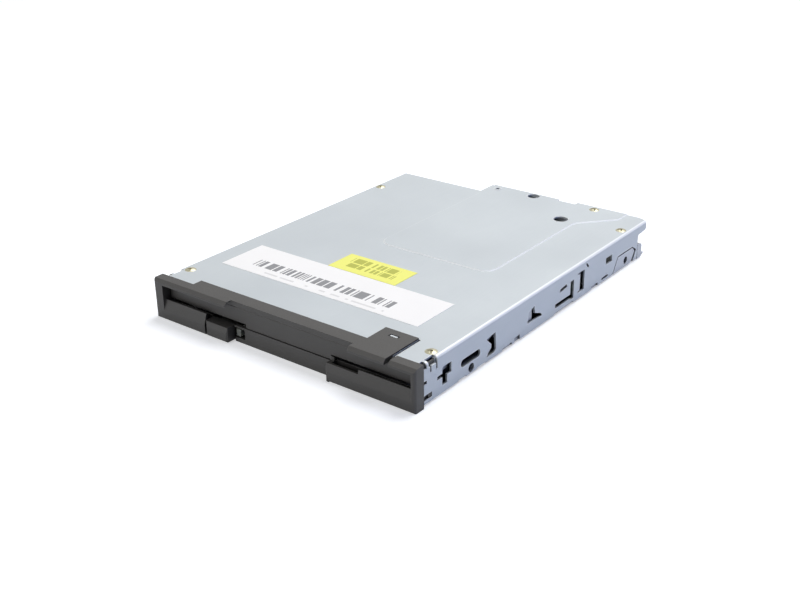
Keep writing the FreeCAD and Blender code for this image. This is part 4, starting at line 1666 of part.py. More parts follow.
def pull_spring_line(radius, turns, eye, neck, length):
    """The line of a pulling spring's wire between the middles of its two eyes, which are length apart.

    The wire leaves each eye along the spring and bends into the turns over a quarter of a turn."""
    quarter = STEPS_PER_TURN // 4
    steps = int(turns * STEPS_PER_TURN) + quarter
    eye_turn = [on_helix(ALONG_Z, eye, i / STEPS_PER_TURN, 0) for i in range(quarter, 4 * quarter + 1)]
    line = eye_turn + [Vector((eye + radius) / 2, neck / 2, 0)]
    for i in range(steps + 1):
        easing_in = min(i, quarter)
        easing_out = max(i - (steps - quarter), 0)
        turned = (easing_in ** 2 - easing_out ** 2) / (2 * quarter) + max(i - quarter, 0)
        along = neck + (length - 2 * neck) * i / steps
        line.append(on_helix(ALONG_Y, radius, turned / STEPS_PER_TURN, along))
    line.append(Vector((eye + radius) / 2, length - neck / 2, 0))
    for i in range(3 * quarter + 1):
        line.append(on_helix(ALONG_Z, eye, i / STEPS_PER_TURN, 0) + Vector(0, length, 0))
    return line


def least_gap(line, wire, radius):
    """The least gap of a wire to itself, between places that lie more than half a turn apart along it."""
    far = [0.0]
    for before, after in zip(line, line[1:]):
        far.append(far[-1] + (after - before).Length)
    apart = [(a - b).Length for i, a in enumerate(line) for j, b in enumerate(line[:i])
             if far[i] - far[j] > math.pi * radius]
    return min(apart) - 2 * wire


def tube(line, wire):
    """A round wire through a row of points, as one unbroken tube."""
    curve = Part.BSplineCurve()
    curve.interpolate(line)
    path = Part.Wire([curve.toShape()])
    into = curve.tangent(curve.FirstParameter)[0]
    profile = Part.Wire([Part.Circle(line[0], into, wire).toShape()])
    return path.makePipeShell([profile], True, False)


def add_feature(label, shape, place):
    feature = doc.addObject("Part::Feature", label)
    feature.Label = label
    feature.Shape = shape
    feature.Placement = Placement(place + frame_offset(), Rotation())
    nodes[label] = feature
    return feature


def add_spring(label, line, wire, radius, place):
    print(f"{label}: least gap to itself {least_gap(line, wire, radius):.2f} mm")
    add_feature(label, tube(line, wire), place)


def make_springs():
    hook = mm("spring_hook_deep")
    foot = mm("spring_foot_front") + mm("spring_foot_long") / 2
    eye = mm("spring_peg") + mm("spring_peg_gap") + mm("spring_wire")
    neck = eye + mm("spring_neck")
    line = pull_spring_line(mm("spring_radius"), mm("spring_turns"), eye, neck, foot - hook)
    for side, across in {"left": mm("spring_line"),
                         "right": 2 * mm("disk_middle") - mm("spring_line")}.items():
        place = Vector(across, hook, mm("spring_axis"))
        add_spring("slider_spring_" + side, line, mm("spring_wire"), mm("spring_radius"), place)
    lever_line = twist_spring_line(ALONG_Z, mm("lever_spring_radius"), mm("lever_spring_rise"),
                                   mm("lever_spring_turns"), mm("lever_spring_leg"))
    lever_place = Vector(mm("lever_across"), mm("lever_deep"), mm("lever_spring_low"))
    add_spring("lever_spring", lever_line, mm("lever_spring_wire"), mm("lever_spring_radius"), lever_place)
    door_line = twist_spring_line(ALONG_X, mm("door_spring_radius"), mm("door_spring_rise"),
                                  mm("door_spring_turns"), mm("door_spring_leg"))
    spare = mm("door_spring_wide") - mm("door_spring_rise") * mm("door_spring_turns")
    door_place = Vector(mm("door_spring_left") + spare / 2, mm("door_thick") / 2 - mm("door_face"),
                        mm("slot_high") - mm("door_axis_drop"))
    add_spring("door_spring", door_line, mm("door_spring_wire"), mm("door_spring_radius"), door_place)


def make_shutter_lever():
    body = turned_piece("shutter_lever", -ALONG_Z, "lever_rest", "lever_across", "lever_deep")
    span = ("lever_low", "lever_low + lever_thick")
    rod(body, "hub", "z", ("0", "0"), "lever_hub", span)
    box(body, "arm", ("0", "lever_long"), ("-lever_wide / 2", "lever_wide / 2"), span)
    rod(body, "tip", "z", ("lever_long", "0"), "lever_tip", span)
    rod(body, "bore", "z", ("0", "0"), "lever_post + pin_clearance", ("0", "chassis_height"), cut=True)
    rod(body, "light_hole", "z", ("lever_long / 2", "0"), "lever_wide / 4", ("0", "chassis_height"), cut=True)

    post = piece("lever_post")
    place = ("lever_across", "lever_deep")
    rod(post, "post", "z", place, "lever_post", ("0", "lever_low + lever_thick + lever_post_tip"))
    rod(post, "collar", "z", place, "lever_collar", ("base_wall", "lever_low - fold_gap"))
    ring = piece("lever_clip")
    rod(ring, "ring", "z", place, "lever_collar",
        ("lever_low + lever_thick + 0.1", "lever_low + lever_thick + lever_post_tip - 0.1"))
    rod(ring, "ring_hole", "z", place, "lever_post", ("0", "chassis_height"), cut=True)


FRONT_ROW = 6
LEFT_ROW = 4


def make_main_board():
    body = piece("main_board")
    span = ("board_low", BOARD_TOP)
    box(body, "sheet", ("board_left", "board_right"), ("board_front", "board_rear"), span)
    box(body, "bay", ("board_bay_left", "board_bay_right"), ("board_bay_front", "board_rear + 1"),
        ("0", "chassis_height"), cut=True)
    holes = [ring("lever_across", "lever_deep", "lever_collar + board_hole_play")]
    for name in ("left", "right"):
        holes.append(ring(f"post_{name}", f"post_{name}_deep", "post_radius + board_hole_play"))
    for across, deep in BOARD_SCREWS:
        holes.append(ring(across, deep, "small_screw + screw_fit"))
    prism(body, "holes", "XY_Plane", holes, ("0", "chassis_height"), cut=True)
    around_pillar = "ear_reach + board_hole_play"
    box(body, "pillar_notch", (f"screw_last_across - ({around_pillar})",
                               f"screw_last_across + {around_pillar}"),
        (f"screw_last_deep - ({around_pillar})", "board_rear + 1"), ("0", "chassis_height"), cut=True)

    connector = piece("ribbon_connector")
    box(connector, "housing", ("connector_left", "connector_right"), ("connector_front", "board_rear"),
        (BOARD_TOP, "connector_high"))
    box(connector, "mouth", ("connector_left + connector_wall", "connector_right - connector_wall"),
        ("board_rear - connector_mouth", "board_rear + 1"),
        (f"{BOARD_TOP} + contact_gap", f"{BOARD_TOP} + 2 * contact_gap"), cut=True)
    box(connector, "latch_bar", ("connector_left + connector_wall / 2",
                                 "connector_right - connector_wall / 2"),
        ("connector_front + contact_gap", "connector_front + connector_bar"),
        ("connector_high", "connector_high + connector_wall / 3"))

    chips = piece("controller_chips")
    for name in ("controller", "driver", "logic"):
        box(chips, name, (name + "_left", f"{name}_left + {name}_size"),
            (name + "_front", f"{name}_front + {name}_long"),
            (BOARD_TOP, f"{BOARD_TOP} + chip_high"))

    small = piece("board_parts")
    for i in range(FRONT_ROW):
        left = f"(front_row_left + {i} * row_pitch)"
        box(small, f"front_row_{i}", (left, f"{left} + part_long"),
            ("front_row_deep", "front_row_deep + part_wide"),
            (BOARD_TOP, f"{BOARD_TOP} + part_high"))
    for i in range(LEFT_ROW):
        front = f"(left_row_front + {i} * row_pitch)"
        box(small, f"left_row_{i}", ("left_row_across", "left_row_across + part_long"),
            (front, f"{front} + part_wide"),
            (BOARD_TOP, f"{BOARD_TOP} + part_high"))

    sensor = piece("track_sensor")
    middle = "(block_left - flag_reach + flag_thick / 2)"
    deep = "(block_rear - 2.5 * flag_wide)"
    box(sensor, "body", (f"{middle} - sensor_half", f"{middle} + sensor_half"),
        (f"{deep} - sensor_long / 2", f"{deep} + sensor_long / 2"), (BOARD_TOP, "block_high - sensor_drop"))
    box(sensor, "gap", (f"{middle} - sensor_gap / 2", f"{middle} + sensor_gap / 2"),
        (f"{deep} - sensor_long", f"{deep} + sensor_long"), ("rod_height - sensor_drop", "chassis_height"),
        cut=True)

    switches = piece("disk_switches")
    half = "switch_size / 2"
    for i, name in enumerate(("protect", "density")):
        across = f"(switch_across - {i} * switch_pitch)"
        box(switches, "case_" + name, (f"{across} - {half}", f"{across} + {half}"),
            (f"switch_deep - {half}", f"switch_deep + {half}"), ("base_wall", "switch_high"))
        rod(switches, "bore_" + name, "z", (across, "switch_deep"), "plunger_radius + pin_clearance",
            ("2 * base_wall - plunger_seat", "switch_high + 1"), cut=True)
        plunger = piece(name + "_plunger", across, "switch_deep")
        turned(plunger, "rod", "plunger_radius",
            ("2 * base_wall - plunger_seat + plunger_travel + pin_clearance", "disk_raised - disk_drop"))

    flex = piece("head_flex")
    across = ("block_right - flag_reach - head_flex_wide", "block_right - flag_reach")
    box(flex, "ribbon", across, ("board_bay_front + board_hole_play", "block_rear + flex_gap"),
        ("base_wall + fold_gap", "base_wall + flex_gap"))
    box(flex, "rise", across, ("block_rear + fold_gap", "block_rear + flex_gap"),
        ("base_wall + fold_gap", "block_low + contact_gap"))


# The cross recess, as shares of the head's radius and height, and the turn of its two bars
CROSS_REACH = 0.55
CROSS_THICK = 0.16
CROSS_DEEP = 0.7
CROSS_ANGLES = (20, 110)


def screw(across, deep, seat, shank, head, rise, length):
    """A screw with a domed head, a cross recess and a plain shank, as one shape."""
    place = Vector(across, deep, seat)
    dome_radius = (head * head + rise * rise) / (2 * rise)
    ball = Part.makeSphere(dome_radius, place + Vector(0, 0, rise - dome_radius))
    slab = Part.makeCylinder(head, rise, place)
    shape = slab.common(ball).fuse(Part.makeCylinder(shank, length, place - Vector(0, 0, length)))
    wing = head * CROSS_REACH
    thick = head * CROSS_THICK
    depth = rise * CROSS_DEEP
    for angle in CROSS_ANGLES:
        bar = Part.makeBox(2 * wing, 2 * thick, depth, Vector(-wing, -thick, 0))
        bar.Placement = Placement(place + Vector(0, 0, rise - depth), Rotation(ALONG_Z, angle))\
            .multiply(Placement(Vector(-wing, -thick, 0), Rotation()))
        shape = shape.cut(bar)
    return shape


def place_of(text):
    """The number that a place worked out from the sheet's cells comes to."""
    probe = doc.getObject("Probe") or doc.addObject("App::FeaturePython", "Probe")
    if "reading" not in probe.PropertiesList:
        probe.addProperty("App::PropertyFloat", "reading")
    bind(probe, "reading", text)
    probe.recompute()
    return probe.reading


def add_screws(label, places, seats, shank, head, rise, length):
    """One node that holds alike screws, each a solid of its own."""
    shapes = [screw(place_of(across), place_of(deep), seat, mm(shank), mm(head), mm(rise), length)
              for (across, deep), seat in zip(places, seats)]
    add_feature(label, Part.makeCompound(shapes), Vector())


def make_screws():
    flat = mm("chassis_height")
    cover_seats = [flat] * (len(COVER_SCREWS) - 1) + [flat + mm("plateau_rise")]
    add_screws("cover_screws", COVER_SCREWS, cover_seats, "screw_radius", "screw_head", "screw_rise",
               mm("cover_wall") + mm("ear_thick") - 0.1)
    board_top = mm("board_low") + mm("board_thick")
    add_screws("board_screws", BOARD_SCREWS, [board_top] * len(BOARD_SCREWS), "small_screw", "small_head",
               "small_rise", board_top - mm("screw_short"))
    foot_top = 2 * mm("base_wall")
    add_screws("bracket_screws", BRACKET_SCREWS, [foot_top] * len(BRACKET_SCREWS), "tiny_screw", "tiny_head",
               "tiny_rise", foot_top - mm("screw_short"))
    motor_top = mm("base_wall") + mm("board_thick")
    add_screws("motor_screws", MOTOR_SCREWS, [motor_top] * len(MOTOR_SCREWS), "tiny_screw", "tiny_head",
               "tiny_rise", motor_top - mm("screw_short"))


def make_labels():
    white = piece("white_label")
    box(white, "sheet", ("label_left", "label_right"), ("label_front", "label_rear"),
        ("chassis_height", "chassis_height + label_thick"))
    yellow = piece("yellow_label")
    box(yellow, "sheet", ("tag_left", "tag_right"), ("tag_front", "tag_rear"),
        ("chassis_height", "chassis_height + label_thick"))


def check_model():
    """Stops before anything is written if an object failed or a cut took nothing away."""
    faults = []
    for thing in doc.Objects:
        if any(word in thing.State for word in ("Invalid", "Error")):
            faults.append(f"{thing.Label} is {thing.State}")
        if thing.TypeId in ("PartDesign::SubtractiveBox", "PartDesign::SubtractiveCylinder",
                            "PartDesign::Pocket"):
            if thing.BaseFeature.Shape.Volume - thing.Shape.Volume < 1e-6:
                faults.append(f"{thing.Label} cuts nothing")
    for label, thing in nodes.items():
        if thing.Shape.isNull() or not thing.Shape.isValid() or not thing.Shape.Solids:
            faults.append(f"{label} has no valid shape")
    if faults:
        raise RuntimeError("; ".join(faults))


def write_parts():
    os.makedirs("parts", exist_ok=True)
    for label, thing in nodes.items():
        thing.Shape.exportStep(os.path.join("parts", label + ".step"))
    print(f"{len(nodes)} nodes written")


split_cover(make_cover_sheet())
make_base_frame()
make_screw_ears()
make_front_bezel()
make_door_flap()
make_disk_holder()
make_holder_pins()
make_guide_posts()
make_eject_slider()
make_eject_button()
make_button_rivet()
make_indicator()
make_motor_board()
make_stator()
make_rotor()
make_head_carriage()
make_upper_arm()
make_guide_rod()
make_stepper()
make_lead_screw()
make_shutter_lever()
make_springs()
make_main_board()
make_screws()
make_labels()
doc.recompute()
check_model()
write_parts()
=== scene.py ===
import json
import math

import bmesh
import bpy
from mathutils import Matrix, Vector


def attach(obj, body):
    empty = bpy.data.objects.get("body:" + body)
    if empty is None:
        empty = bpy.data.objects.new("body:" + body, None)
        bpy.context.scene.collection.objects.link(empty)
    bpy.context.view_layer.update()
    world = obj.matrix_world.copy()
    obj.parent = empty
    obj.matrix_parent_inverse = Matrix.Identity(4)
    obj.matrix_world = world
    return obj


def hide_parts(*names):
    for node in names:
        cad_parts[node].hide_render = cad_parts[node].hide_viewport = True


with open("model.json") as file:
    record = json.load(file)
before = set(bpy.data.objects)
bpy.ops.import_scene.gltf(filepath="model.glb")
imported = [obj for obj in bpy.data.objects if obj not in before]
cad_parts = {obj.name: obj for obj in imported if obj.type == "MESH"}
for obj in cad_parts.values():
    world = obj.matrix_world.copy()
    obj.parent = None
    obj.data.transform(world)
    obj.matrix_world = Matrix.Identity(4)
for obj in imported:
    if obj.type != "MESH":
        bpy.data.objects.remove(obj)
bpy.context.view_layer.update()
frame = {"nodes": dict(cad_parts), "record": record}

MM = 0.001

# The drive's own coordinates start at the front left corner of the chassis, in millimetres.
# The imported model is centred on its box, so places read off the drive are moved over by these amounts.
CHASSIS_WIDTH = 96.0
CHASSIS_MIDDLE = CHASSIS_WIDTH / 2
CHASSIS_FRONT = 61.075
CHASSIS_UNDERSIDE = 0.25


def across(x):
    """A place across the drive, from the chassis' left side, as a model coordinate in metres."""
    return (x - CHASSIS_MIDDLE) * MM


def along(y):
    """A place along the drive, from the chassis' front, as a model coordinate in metres."""
    return (y - CHASSIS_FRONT) * MM


def above(z):
    """A height above the chassis' underside, as a model coordinate in metres."""
    return (z + CHASSIS_UNDERSIDE) * MM


# Patterns as wide as they are high, and the soft edge of print on a label
UNSTRETCHED = (1.0, 1.0, 1.0)
PRINT_SOFTNESS = 0.04 * MM

# For the painted shade in holes and gaps: how open a point is where it is darkest, how open where it keeps
# its full colour, and what share of that colour the darkest keeps
OPEN_BLACK = 0.12
OPEN_FULL = 0.6
BLACK_SHARE = 0.03


class Finish:
    """A material being built: its shader, its nodes, and where on the drive a point lies."""

    def __init__(self, name, roughness, metallic=0.0):
        self.material = bpy.data.materials.new(name)
        self.material.use_nodes = True
        self.nodes = self.material.node_tree.nodes
        self.links = self.material.node_tree.links
        self.shader = self.nodes["Principled BSDF"]
        self.place = self.nodes.new("ShaderNodeTexCoord").outputs["Object"]
        self.set("Metallic", metallic)
        self.set("Roughness", roughness)

    def feed(self, socket, value):
        """Puts a number, a colour or another node's output into a socket."""
        if isinstance(value, bpy.types.NodeSocket):
            self.links.new(value, socket)
        elif isinstance(value, tuple) and len(value) == 3 and len(socket.default_value) == 4:
            socket.default_value = (*value, 1.0)
        else:
            socket.default_value = value

    def set(self, socket, value):
        """Sets one of the shader's own sockets."""
        self.feed(self.shader.inputs[socket], value)

    def add(self, kind, inputs=(), **settings):
        """Adds a node with its settings, and feeds its inputs, named or numbered."""
        node = self.nodes.new(kind)
        for name, value in settings.items():
            setattr(node, name, value)
        for name, value in dict(inputs).items():
            self.feed(node.inputs[name], value)
        return node

    def stretched(self, size, stretch=UNSTRETCHED):
        """The point's place in units of size metres, drawn out along each axis by stretch."""
        scale = Vector([1.0 / (size * factor) for factor in stretch])
        return self.add("ShaderNodeMapping", {"Vector": self.place, "Scale": scale}).outputs["Vector"]

    def noise(self, size, detail=3.0, stretch=UNSTRETCHED):
        """Cloudy noise from 0 to 1, with blobs about size metres wide."""
        inputs = {"Vector": self.stretched(size, stretch), "Scale": 1.0, "Detail": detail}
        return self.add("ShaderNodeTexNoise", inputs).outputs["Fac"]

    def crystals(self, size):
        """Flat-sided cells about size metres wide, each with its own value from 0 to 1."""
        cells = self.add("ShaderNodeTexVoronoi", {"Vector": self.stretched(size), "Scale": 1.0})
        return self.add("ShaderNodeSeparateColor", {"Color": cells.outputs["Color"]}).outputs["Red"]

    def bands(self, axis, size, wobble=0.0):
        """Soft bands from 0 to 1, one behind another along an axis."""
        inputs = {"Vector": self.stretched(size), "Scale": 1.0, "Distortion": wobble}
        return self.add("ShaderNodeTexWave", inputs, bands_direction=axis).outputs["Fac"]

    def spread(self, value, low, high, start=0.3, stop=0.7):
        """Turns a value that runs from start to stop into one that runs from low to high."""
        inputs = {"Value": value, "From Min": start, "From Max": stop, "To Min": low, "To Max": high}
        return self.add("ShaderNodeMapRange", inputs).outputs["Result"]

    def sum_of(self, operation, first, second):
        """A sum, product or other plain operation on two values."""
        return self.add("ShaderNodeMath", {0: first, 1: second}, operation=operation).outputs["Value"]

    def tint(self, factor, first, second):
        """The first colour where the factor is 0, the second where it is 1."""
        mix = self.add("ShaderNodeMix", {0: factor}, data_type="RGBA")
        return self.mixed(mix, first, second)

    def mixed(self, mix, first, second):
        """Feeds two colours into a mixing node and gives the colour that comes out."""
        colours = [socket for socket in mix.inputs if socket.type == "RGBA"]
        self.feed(colours[0], first)
        self.feed(colours[1], second)
        return [socket for socket in mix.outputs if socket.type == "RGBA"][0]

    def rounded(self, radius):
        """The surface's direction, as if each edge were rounded by this radius."""
        return self.add("ShaderNodeBevel", {"Radius": radius}, samples=6).outputs["Normal"]

    def edges(self, radius, gain=3.0):
        """1 along edges and corners, and 0 on open faces, over a band about radius metres wide."""
        true_normal = self.add("ShaderNodeNewGeometry").outputs["Normal"]
        inputs = {0: self.rounded(radius), 1: true_normal}
        likeness = self.add("ShaderNodeVectorMath", inputs, operation="DOT_PRODUCT").outputs["Value"]
        turn = self.sum_of("SUBTRACT", 1.0, likeness)
        return self.add("ShaderNodeMath", {0: turn, 1: gain}, operation="MULTIPLY",
                        use_clamp=True).outputs["Value"]

    def relief(self, height, depth, rounding):
        """Bumps of this depth in metres on top of edges rounded by the radius rounding."""
        inputs = {"Height": height, "Distance": depth, "Strength": 1.0, "Normal": self.rounded(rounding)}
        self.set("Normal", self.add("ShaderNodeBump", inputs).outputs["Normal"])

    def painted_shade_in_gaps(self, colour, reach):
        """Painted shade: the colour goes almost black deep inside holes and gaps narrower than the reach,
        where shade falls.
        """
        open_sky = self.add("ShaderNodeAmbientOcclusion", {"Distance": reach}, samples=8).outputs["AO"]
        light = self.spread(open_sky, BLACK_SHARE, 1.0, OPEN_BLACK, OPEN_FULL)
        grey = self.add("ShaderNodeCombineColor", {"Red": light, "Green": light, "Blue": light})
        mix = self.add("ShaderNodeMix", {0: 1.0}, data_type="RGBA", blend_type="MULTIPLY")
        return self.mixed(mix, colour, grey.outputs["Color"])

    def coordinate(self, axis):
        """The point's place along one axis, X, Y or Z, in metres."""
        return self.add("ShaderNodeSeparateXYZ", {"Vector": self.place}).outputs[axis]

    def between(self, value, low, high, softness=PRINT_SOFTNESS):
        """1 where the value lies between low and high, else 0, with a soft edge."""
        rise = self.spread(value, 0.0, 1.0, low - softness, low + softness)
        fall = self.spread(value, 1.0, 0.0, high - softness, high + softness)
        return self.sum_of("MULTIPLY", rise, fall)

    def patch(self, corner, opposite):
        """1 inside a rectangle on the drive's top, given by two corners in the drive's millimetres."""
        wide = self.between(self.coordinate("X"), across(corner[0]), across(opposite[0]))
        deep = self.between(self.coordinate("Y"), along(corner[1]), along(opposite[1]))
        return self.sum_of("MULTIPLY", wide, deep)

    def strokes(self, module, share, start):
        """Upright printed strokes: each module metres across is inked or bare by a chance fixed by start."""
        step = self.add("ShaderNodeMath", {0: self.coordinate("X"), 1: module}, operation="DIVIDE")
        whole = self.add("ShaderNodeMath", {0: step.outputs["Value"]}, operation="FLOOR")
        shifted = self.sum_of("ADD", whole.outputs["Value"], start)
        chance = self.add("ShaderNodeTexWhiteNoise", {"W": shifted}, noise_dimensions="1D")
        return self.sum_of("LESS_THAN", chance.outputs["Value"], share)


# The painted highlight along the cover's folds, standing in for the overhead lamp's glint: how far from the
# middle it starts and ends, how soft its edge is, between which heights on the drive it fades in, and how
# bright it gets.
FOLD_FROM = 47.25 * MM
FOLD_TO = 48.1 * MM
FOLD_SOFTNESS = 0.12 * MM
FOLD_LOW = 11.15
FOLD_HIGH = 11.45
FOLD_SHARE = 0.85


def painted_fold_highlight(finish):
    """1 along both folds of the cover, where a highlight is painted, else 0."""
    from_middle = finish.add("ShaderNodeMath", {0: finish.coordinate("X")}, operation="ABSOLUTE")
    band = finish.between(from_middle.outputs["Value"], FOLD_FROM, FOLD_TO, FOLD_SOFTNESS)
    raised = finish.spread(finish.coordinate("Z"), 0.0, FOLD_SHARE, above(FOLD_LOW), above(FOLD_HIGH))
    return finish.sum_of("MULTIPLY", band, raised)


# The heights on the drive between which the slope round the stamped plateau gets a painted highlight
SLOPE_FROM = 12.06
SLOPE_TO = 12.24


def painted_slope_highlight(finish):
    """1 on the slope round the plateau, where a highlight is painted, else 0."""
    return finish.between(finish.coordinate("Z"), above(SLOPE_FROM), above(SLOPE_TO))


# How wide a gap still gets painted shade on the cover, and on what lies inside the case
COVER_GAP = 9.0 * MM
DEEP_INSIDE = 16.0 * MM

# The rolling lines are drawn out along the sheet's depth
ROLLED = (1.0, 60.0, 1.0)


def zinc_sheet(name, bright, dull, edge, metallic, reach=COVER_GAP, folded=False):
    """Zinc-coated sheet steel: faint crystals, rolling lines along the depth, bright cut edges that are
    partly wear and partly painted highlight, painted highlights along the folds and the plateau's slope
    where folded, and painted shade in gaps.
    """
    finish = Finish(name, roughness=0.4, metallic=metallic)
    crystals = finish.crystals(5.0 * MM)
    clouds = finish.noise(28.0 * MM, detail=4.0)
    lines = finish.noise(0.22 * MM, detail=2.0, stretch=ROLLED)
    # Bright edges: partly wear of the cut zinc, partly a painted highlight where edges catch the light
    wear_and_highlight = finish.edges(0.4 * MM, gain=5.0)
    # On the cover, painted highlights along the folds and round the plateau's slope
    if folded:
        wear_and_highlight = finish.sum_of("MAXIMUM", wear_and_highlight, painted_fold_highlight(finish))
        wear_and_highlight = finish.sum_of("MAXIMUM", wear_and_highlight, painted_slope_highlight(finish))
    base = finish.tint(finish.spread(clouds, 0.0, 1.0), dull, bright)
    flecked = finish.tint(finish.spread(crystals, 0.0, 0.22, 0.0, 1.0), base, dull)
    lined = finish.tint(finish.spread(lines, 0.0, 0.16), flecked, dull)
    # The edge colour carries both the wear and the painted highlights; painted shade darkens the gaps
    finish.set("Base Color", finish.painted_shade_in_gaps(finish.tint(wear_and_highlight, lined, edge), reach))
    coarse = finish.spread(clouds, 0.38, 0.5)
    fine = finish.spread(lines, -0.04, 0.05)
    finish.set("Roughness", finish.sum_of("ADD", coarse, fine))
    finish.relief(lines, 0.004 * MM, 0.12 * MM)
    return finish.material


def cover_steel():
    """The top cover: pale bluish grey."""
    return zinc_sheet("cover_steel", (0.57, 0.615, 0.64), (0.525, 0.57, 0.60), (0.92, 0.94, 0.96), 0.15,
                      folded=True)


def base_steel():
    """The base frame and brackets: the same sheet, a little darker, partly its own tone and partly painted
    shade for flanges that lie in shadow behind the cover.
    """
    return zinc_sheet("base_steel", (0.50, 0.53, 0.58), (0.42, 0.45, 0.50), (0.72, 0.75, 0.80), 0.5,
                      reach=DEEP_INSIDE)


# How wide a gap still gets painted shade on mouldings: small ones, and the bezel
SMALL_GAP = 6.0 * MM
BEZEL_GAP = 12.0 * MM


def moulded(name, colour, worn_colour, roughness, grain_depth=0.012, reach=SMALL_GAP):
    """Moulded plastic: a spark-eroded grain, faint clouds in its colour, edges rubbed lighter, and painted
    shade in its gaps and hollows.
    """
    finish = Finish(name, roughness=roughness)
    grain = finish.noise(0.16 * MM, detail=2.0)
    clouds = finish.noise(14.0 * MM, detail=3.0)
    rubbed = finish.sum_of("MULTIPLY", finish.edges(0.3 * MM), finish.spread(clouds, 0.25, 0.8))
    shade = tuple(channel * 0.86 for channel in colour)
    base = finish.tint(finish.spread(clouds, 0.0, 1.0), shade, colour)
    finish.set("Base Color", finish.painted_shade_in_gaps(finish.tint(rubbed, base, worn_colour), reach))
    finish.set("Roughness", finish.spread(grain, roughness - 0.06, roughness + 0.08))
    finish.relief(grain, grain_depth * MM, 0.16 * MM)
    return finish.material


def black_plastic():
    """The bezel, the flap and the eject button."""
    return moulded("black_plastic", (0.0415, 0.0395, 0.0375), (0.15, 0.145, 0.14), 0.5, reach=BEZEL_GAP)


def grey_plastic():
    """The head carriage's arm and the switches."""
    return moulded("grey_plastic", (0.20, 0.21, 0.22), (0.30, 0.31, 0.32), 0.5)


def white_plastic():
    """Milky nylon of the connector and the small clips."""
    return moulded("white_plastic", (0.74, 0.71, 0.64), (0.84, 0.82, 0.77), 0.42, grain_depth=0.005)


def dark_plastic():
    """Moulded housings of chips, motor caps and plugs."""
    return moulded("dark_plastic", (0.035, 0.035, 0.037), (0.09, 0.09, 0.092), 0.44)


def clear_plastic():
    """The lamp's light pipe: a milky clear moulding."""
    finish = Finish("clear_plastic", roughness=0.16)
    milk = finish.noise(2.0 * MM, detail=3.0)
    milky = finish.tint(finish.spread(milk, 0.0, 1.0), (0.30, 0.32, 0.29), (0.40, 0.41, 0.38))
    finish.set("Base Color", milky)
    finish.set("Transmission Weight", 0.35)
    finish.set("Roughness", finish.spread(milk, 0.12, 0.24))
    finish.relief(milk, 0.003 * MM, 0.08 * MM)
    return finish.material


# Tool marks are drawn out along a turned piece
TOOL_MARKS = (1.0, 1.0, 8.0)


def turned_metal(name, colour, shade, roughness, size=0.05, stretch=TOOL_MARKS):
    """Bare machined metal: fine tool marks, a few dull clouds, bright edges."""
    finish = Finish(name, roughness=roughness, metallic=1.0)
    marks = finish.noise(size * MM, detail=2.0, stretch=stretch)
    clouds = finish.noise(3.0 * MM, detail=4.0)
    base = finish.tint(finish.spread(clouds, 0.0, 1.0), shade, colour)
    bright = tuple(min(1.0, channel * 1.25) for channel in colour)
    finish.set("Base Color", finish.tint(finish.edges(0.12 * MM), base, bright))
    finish.set("Roughness", finish.spread(marks, roughness - 0.07, roughness + 0.1))
    finish.relief(marks, 0.003 * MM, 0.05 * MM)
    return finish.material


def bright_steel():
    """Ground rods, shafts and pins."""
    return turned_metal("bright_steel", (0.74, 0.74, 0.76), (0.60, 0.60, 0.62), 0.24)


def brass_steel():
    """Yellow-passivated cover screws, between olive and brass."""
    return turned_metal("brass_steel", (0.44, 0.42, 0.32), (0.30, 0.285, 0.20), 0.42, stretch=UNSTRETCHED)


def spring_steel():
    """Drawn wire of the springs."""
    return turned_metal("spring_steel", (0.46, 0.46, 0.48), (0.33, 0.33, 0.35), 0.34)


def cast_alloy():
    """Die-cast carriage and hub: matte, with a sandy skin."""
    return turned_metal("cast_alloy", (0.60, 0.60, 0.61), (0.47, 0.47, 0.49), 0.46, size=0.18,
                        stretch=UNSTRETCHED)


def brass():
    """Turned brass sleeve."""
    return turned_metal("brass", (0.74, 0.58, 0.27), (0.56, 0.42, 0.17), 0.3)


def copper():
    """Enamelled copper windings, with the fine lines of the wire round each tooth."""
    finish = Finish("copper", roughness=0.3, metallic=0.9)
    wires = finish.bands("Z", 0.3 * MM, wobble=0.6)
    finish.set("Base Color", finish.tint(wires, (0.34, 0.13, 0.05), (0.72, 0.36, 0.17)))
    finish.set("Roughness", finish.spread(wires, 0.25, 0.45, 0.0, 1.0))
    finish.relief(wires, 0.03 * MM, 0.05 * MM)
    return finish.material


def magnet():
    """Bonded ferrite: almost black, with a dusty grain."""
    return moulded("magnet", (0.075, 0.072, 0.07), (0.13, 0.125, 0.12), 0.62, grain_depth=0.02)


def core_steel():
    """Coated laminations: dark blue-grey, in fine layers."""
    finish = Finish("core_steel", roughness=0.42, metallic=0.5)
    layers = finish.bands("Z", 0.5 * MM, wobble=0.2)
    clouds = finish.noise(4.0 * MM)
    base = finish.tint(finish.spread(clouds, 0.0, 1.0), (0.10, 0.115, 0.135), (0.17, 0.19, 0.215))
    layered = finish.tint(finish.spread(layers, 0.0, 0.5, 0.0, 1.0), base, (0.06, 0.065, 0.075))
    finish.set("Base Color", layered)
    finish.relief(layers, 0.02 * MM, 0.06 * MM)
    return finish.material


def board_green():
    """Solder mask over fine copper tracks."""
    finish = Finish("board_green", roughness=0.28)
    layout = {"Vector": finish.stretched(1.6 * MM), "Scale": 1.0, "Mortar Size": 0.12, "Brick Width": 1.7,
              "Row Height": 0.4}
    tracks = finish.add("ShaderNodeTexBrick", layout)
    clouds = finish.noise(9.0 * MM)
    mask = finish.tint(finish.spread(clouds, 0.0, 1.0), (0.018, 0.135, 0.058), (0.028, 0.185, 0.085))
    tracked = finish.tint(tracks.outputs["Fac"], mask, (0.05, 0.27, 0.12))
    # Painted shade darkens the board where it lies deep in gaps inside the case
    finish.set("Base Color", finish.painted_shade_in_gaps(tracked, DEEP_INSIDE))
    finish.set("Roughness", finish.spread(clouds, 0.24, 0.36))
    finish.relief(tracks.outputs["Fac"], 0.02 * MM, 0.08 * MM)
    return finish.material


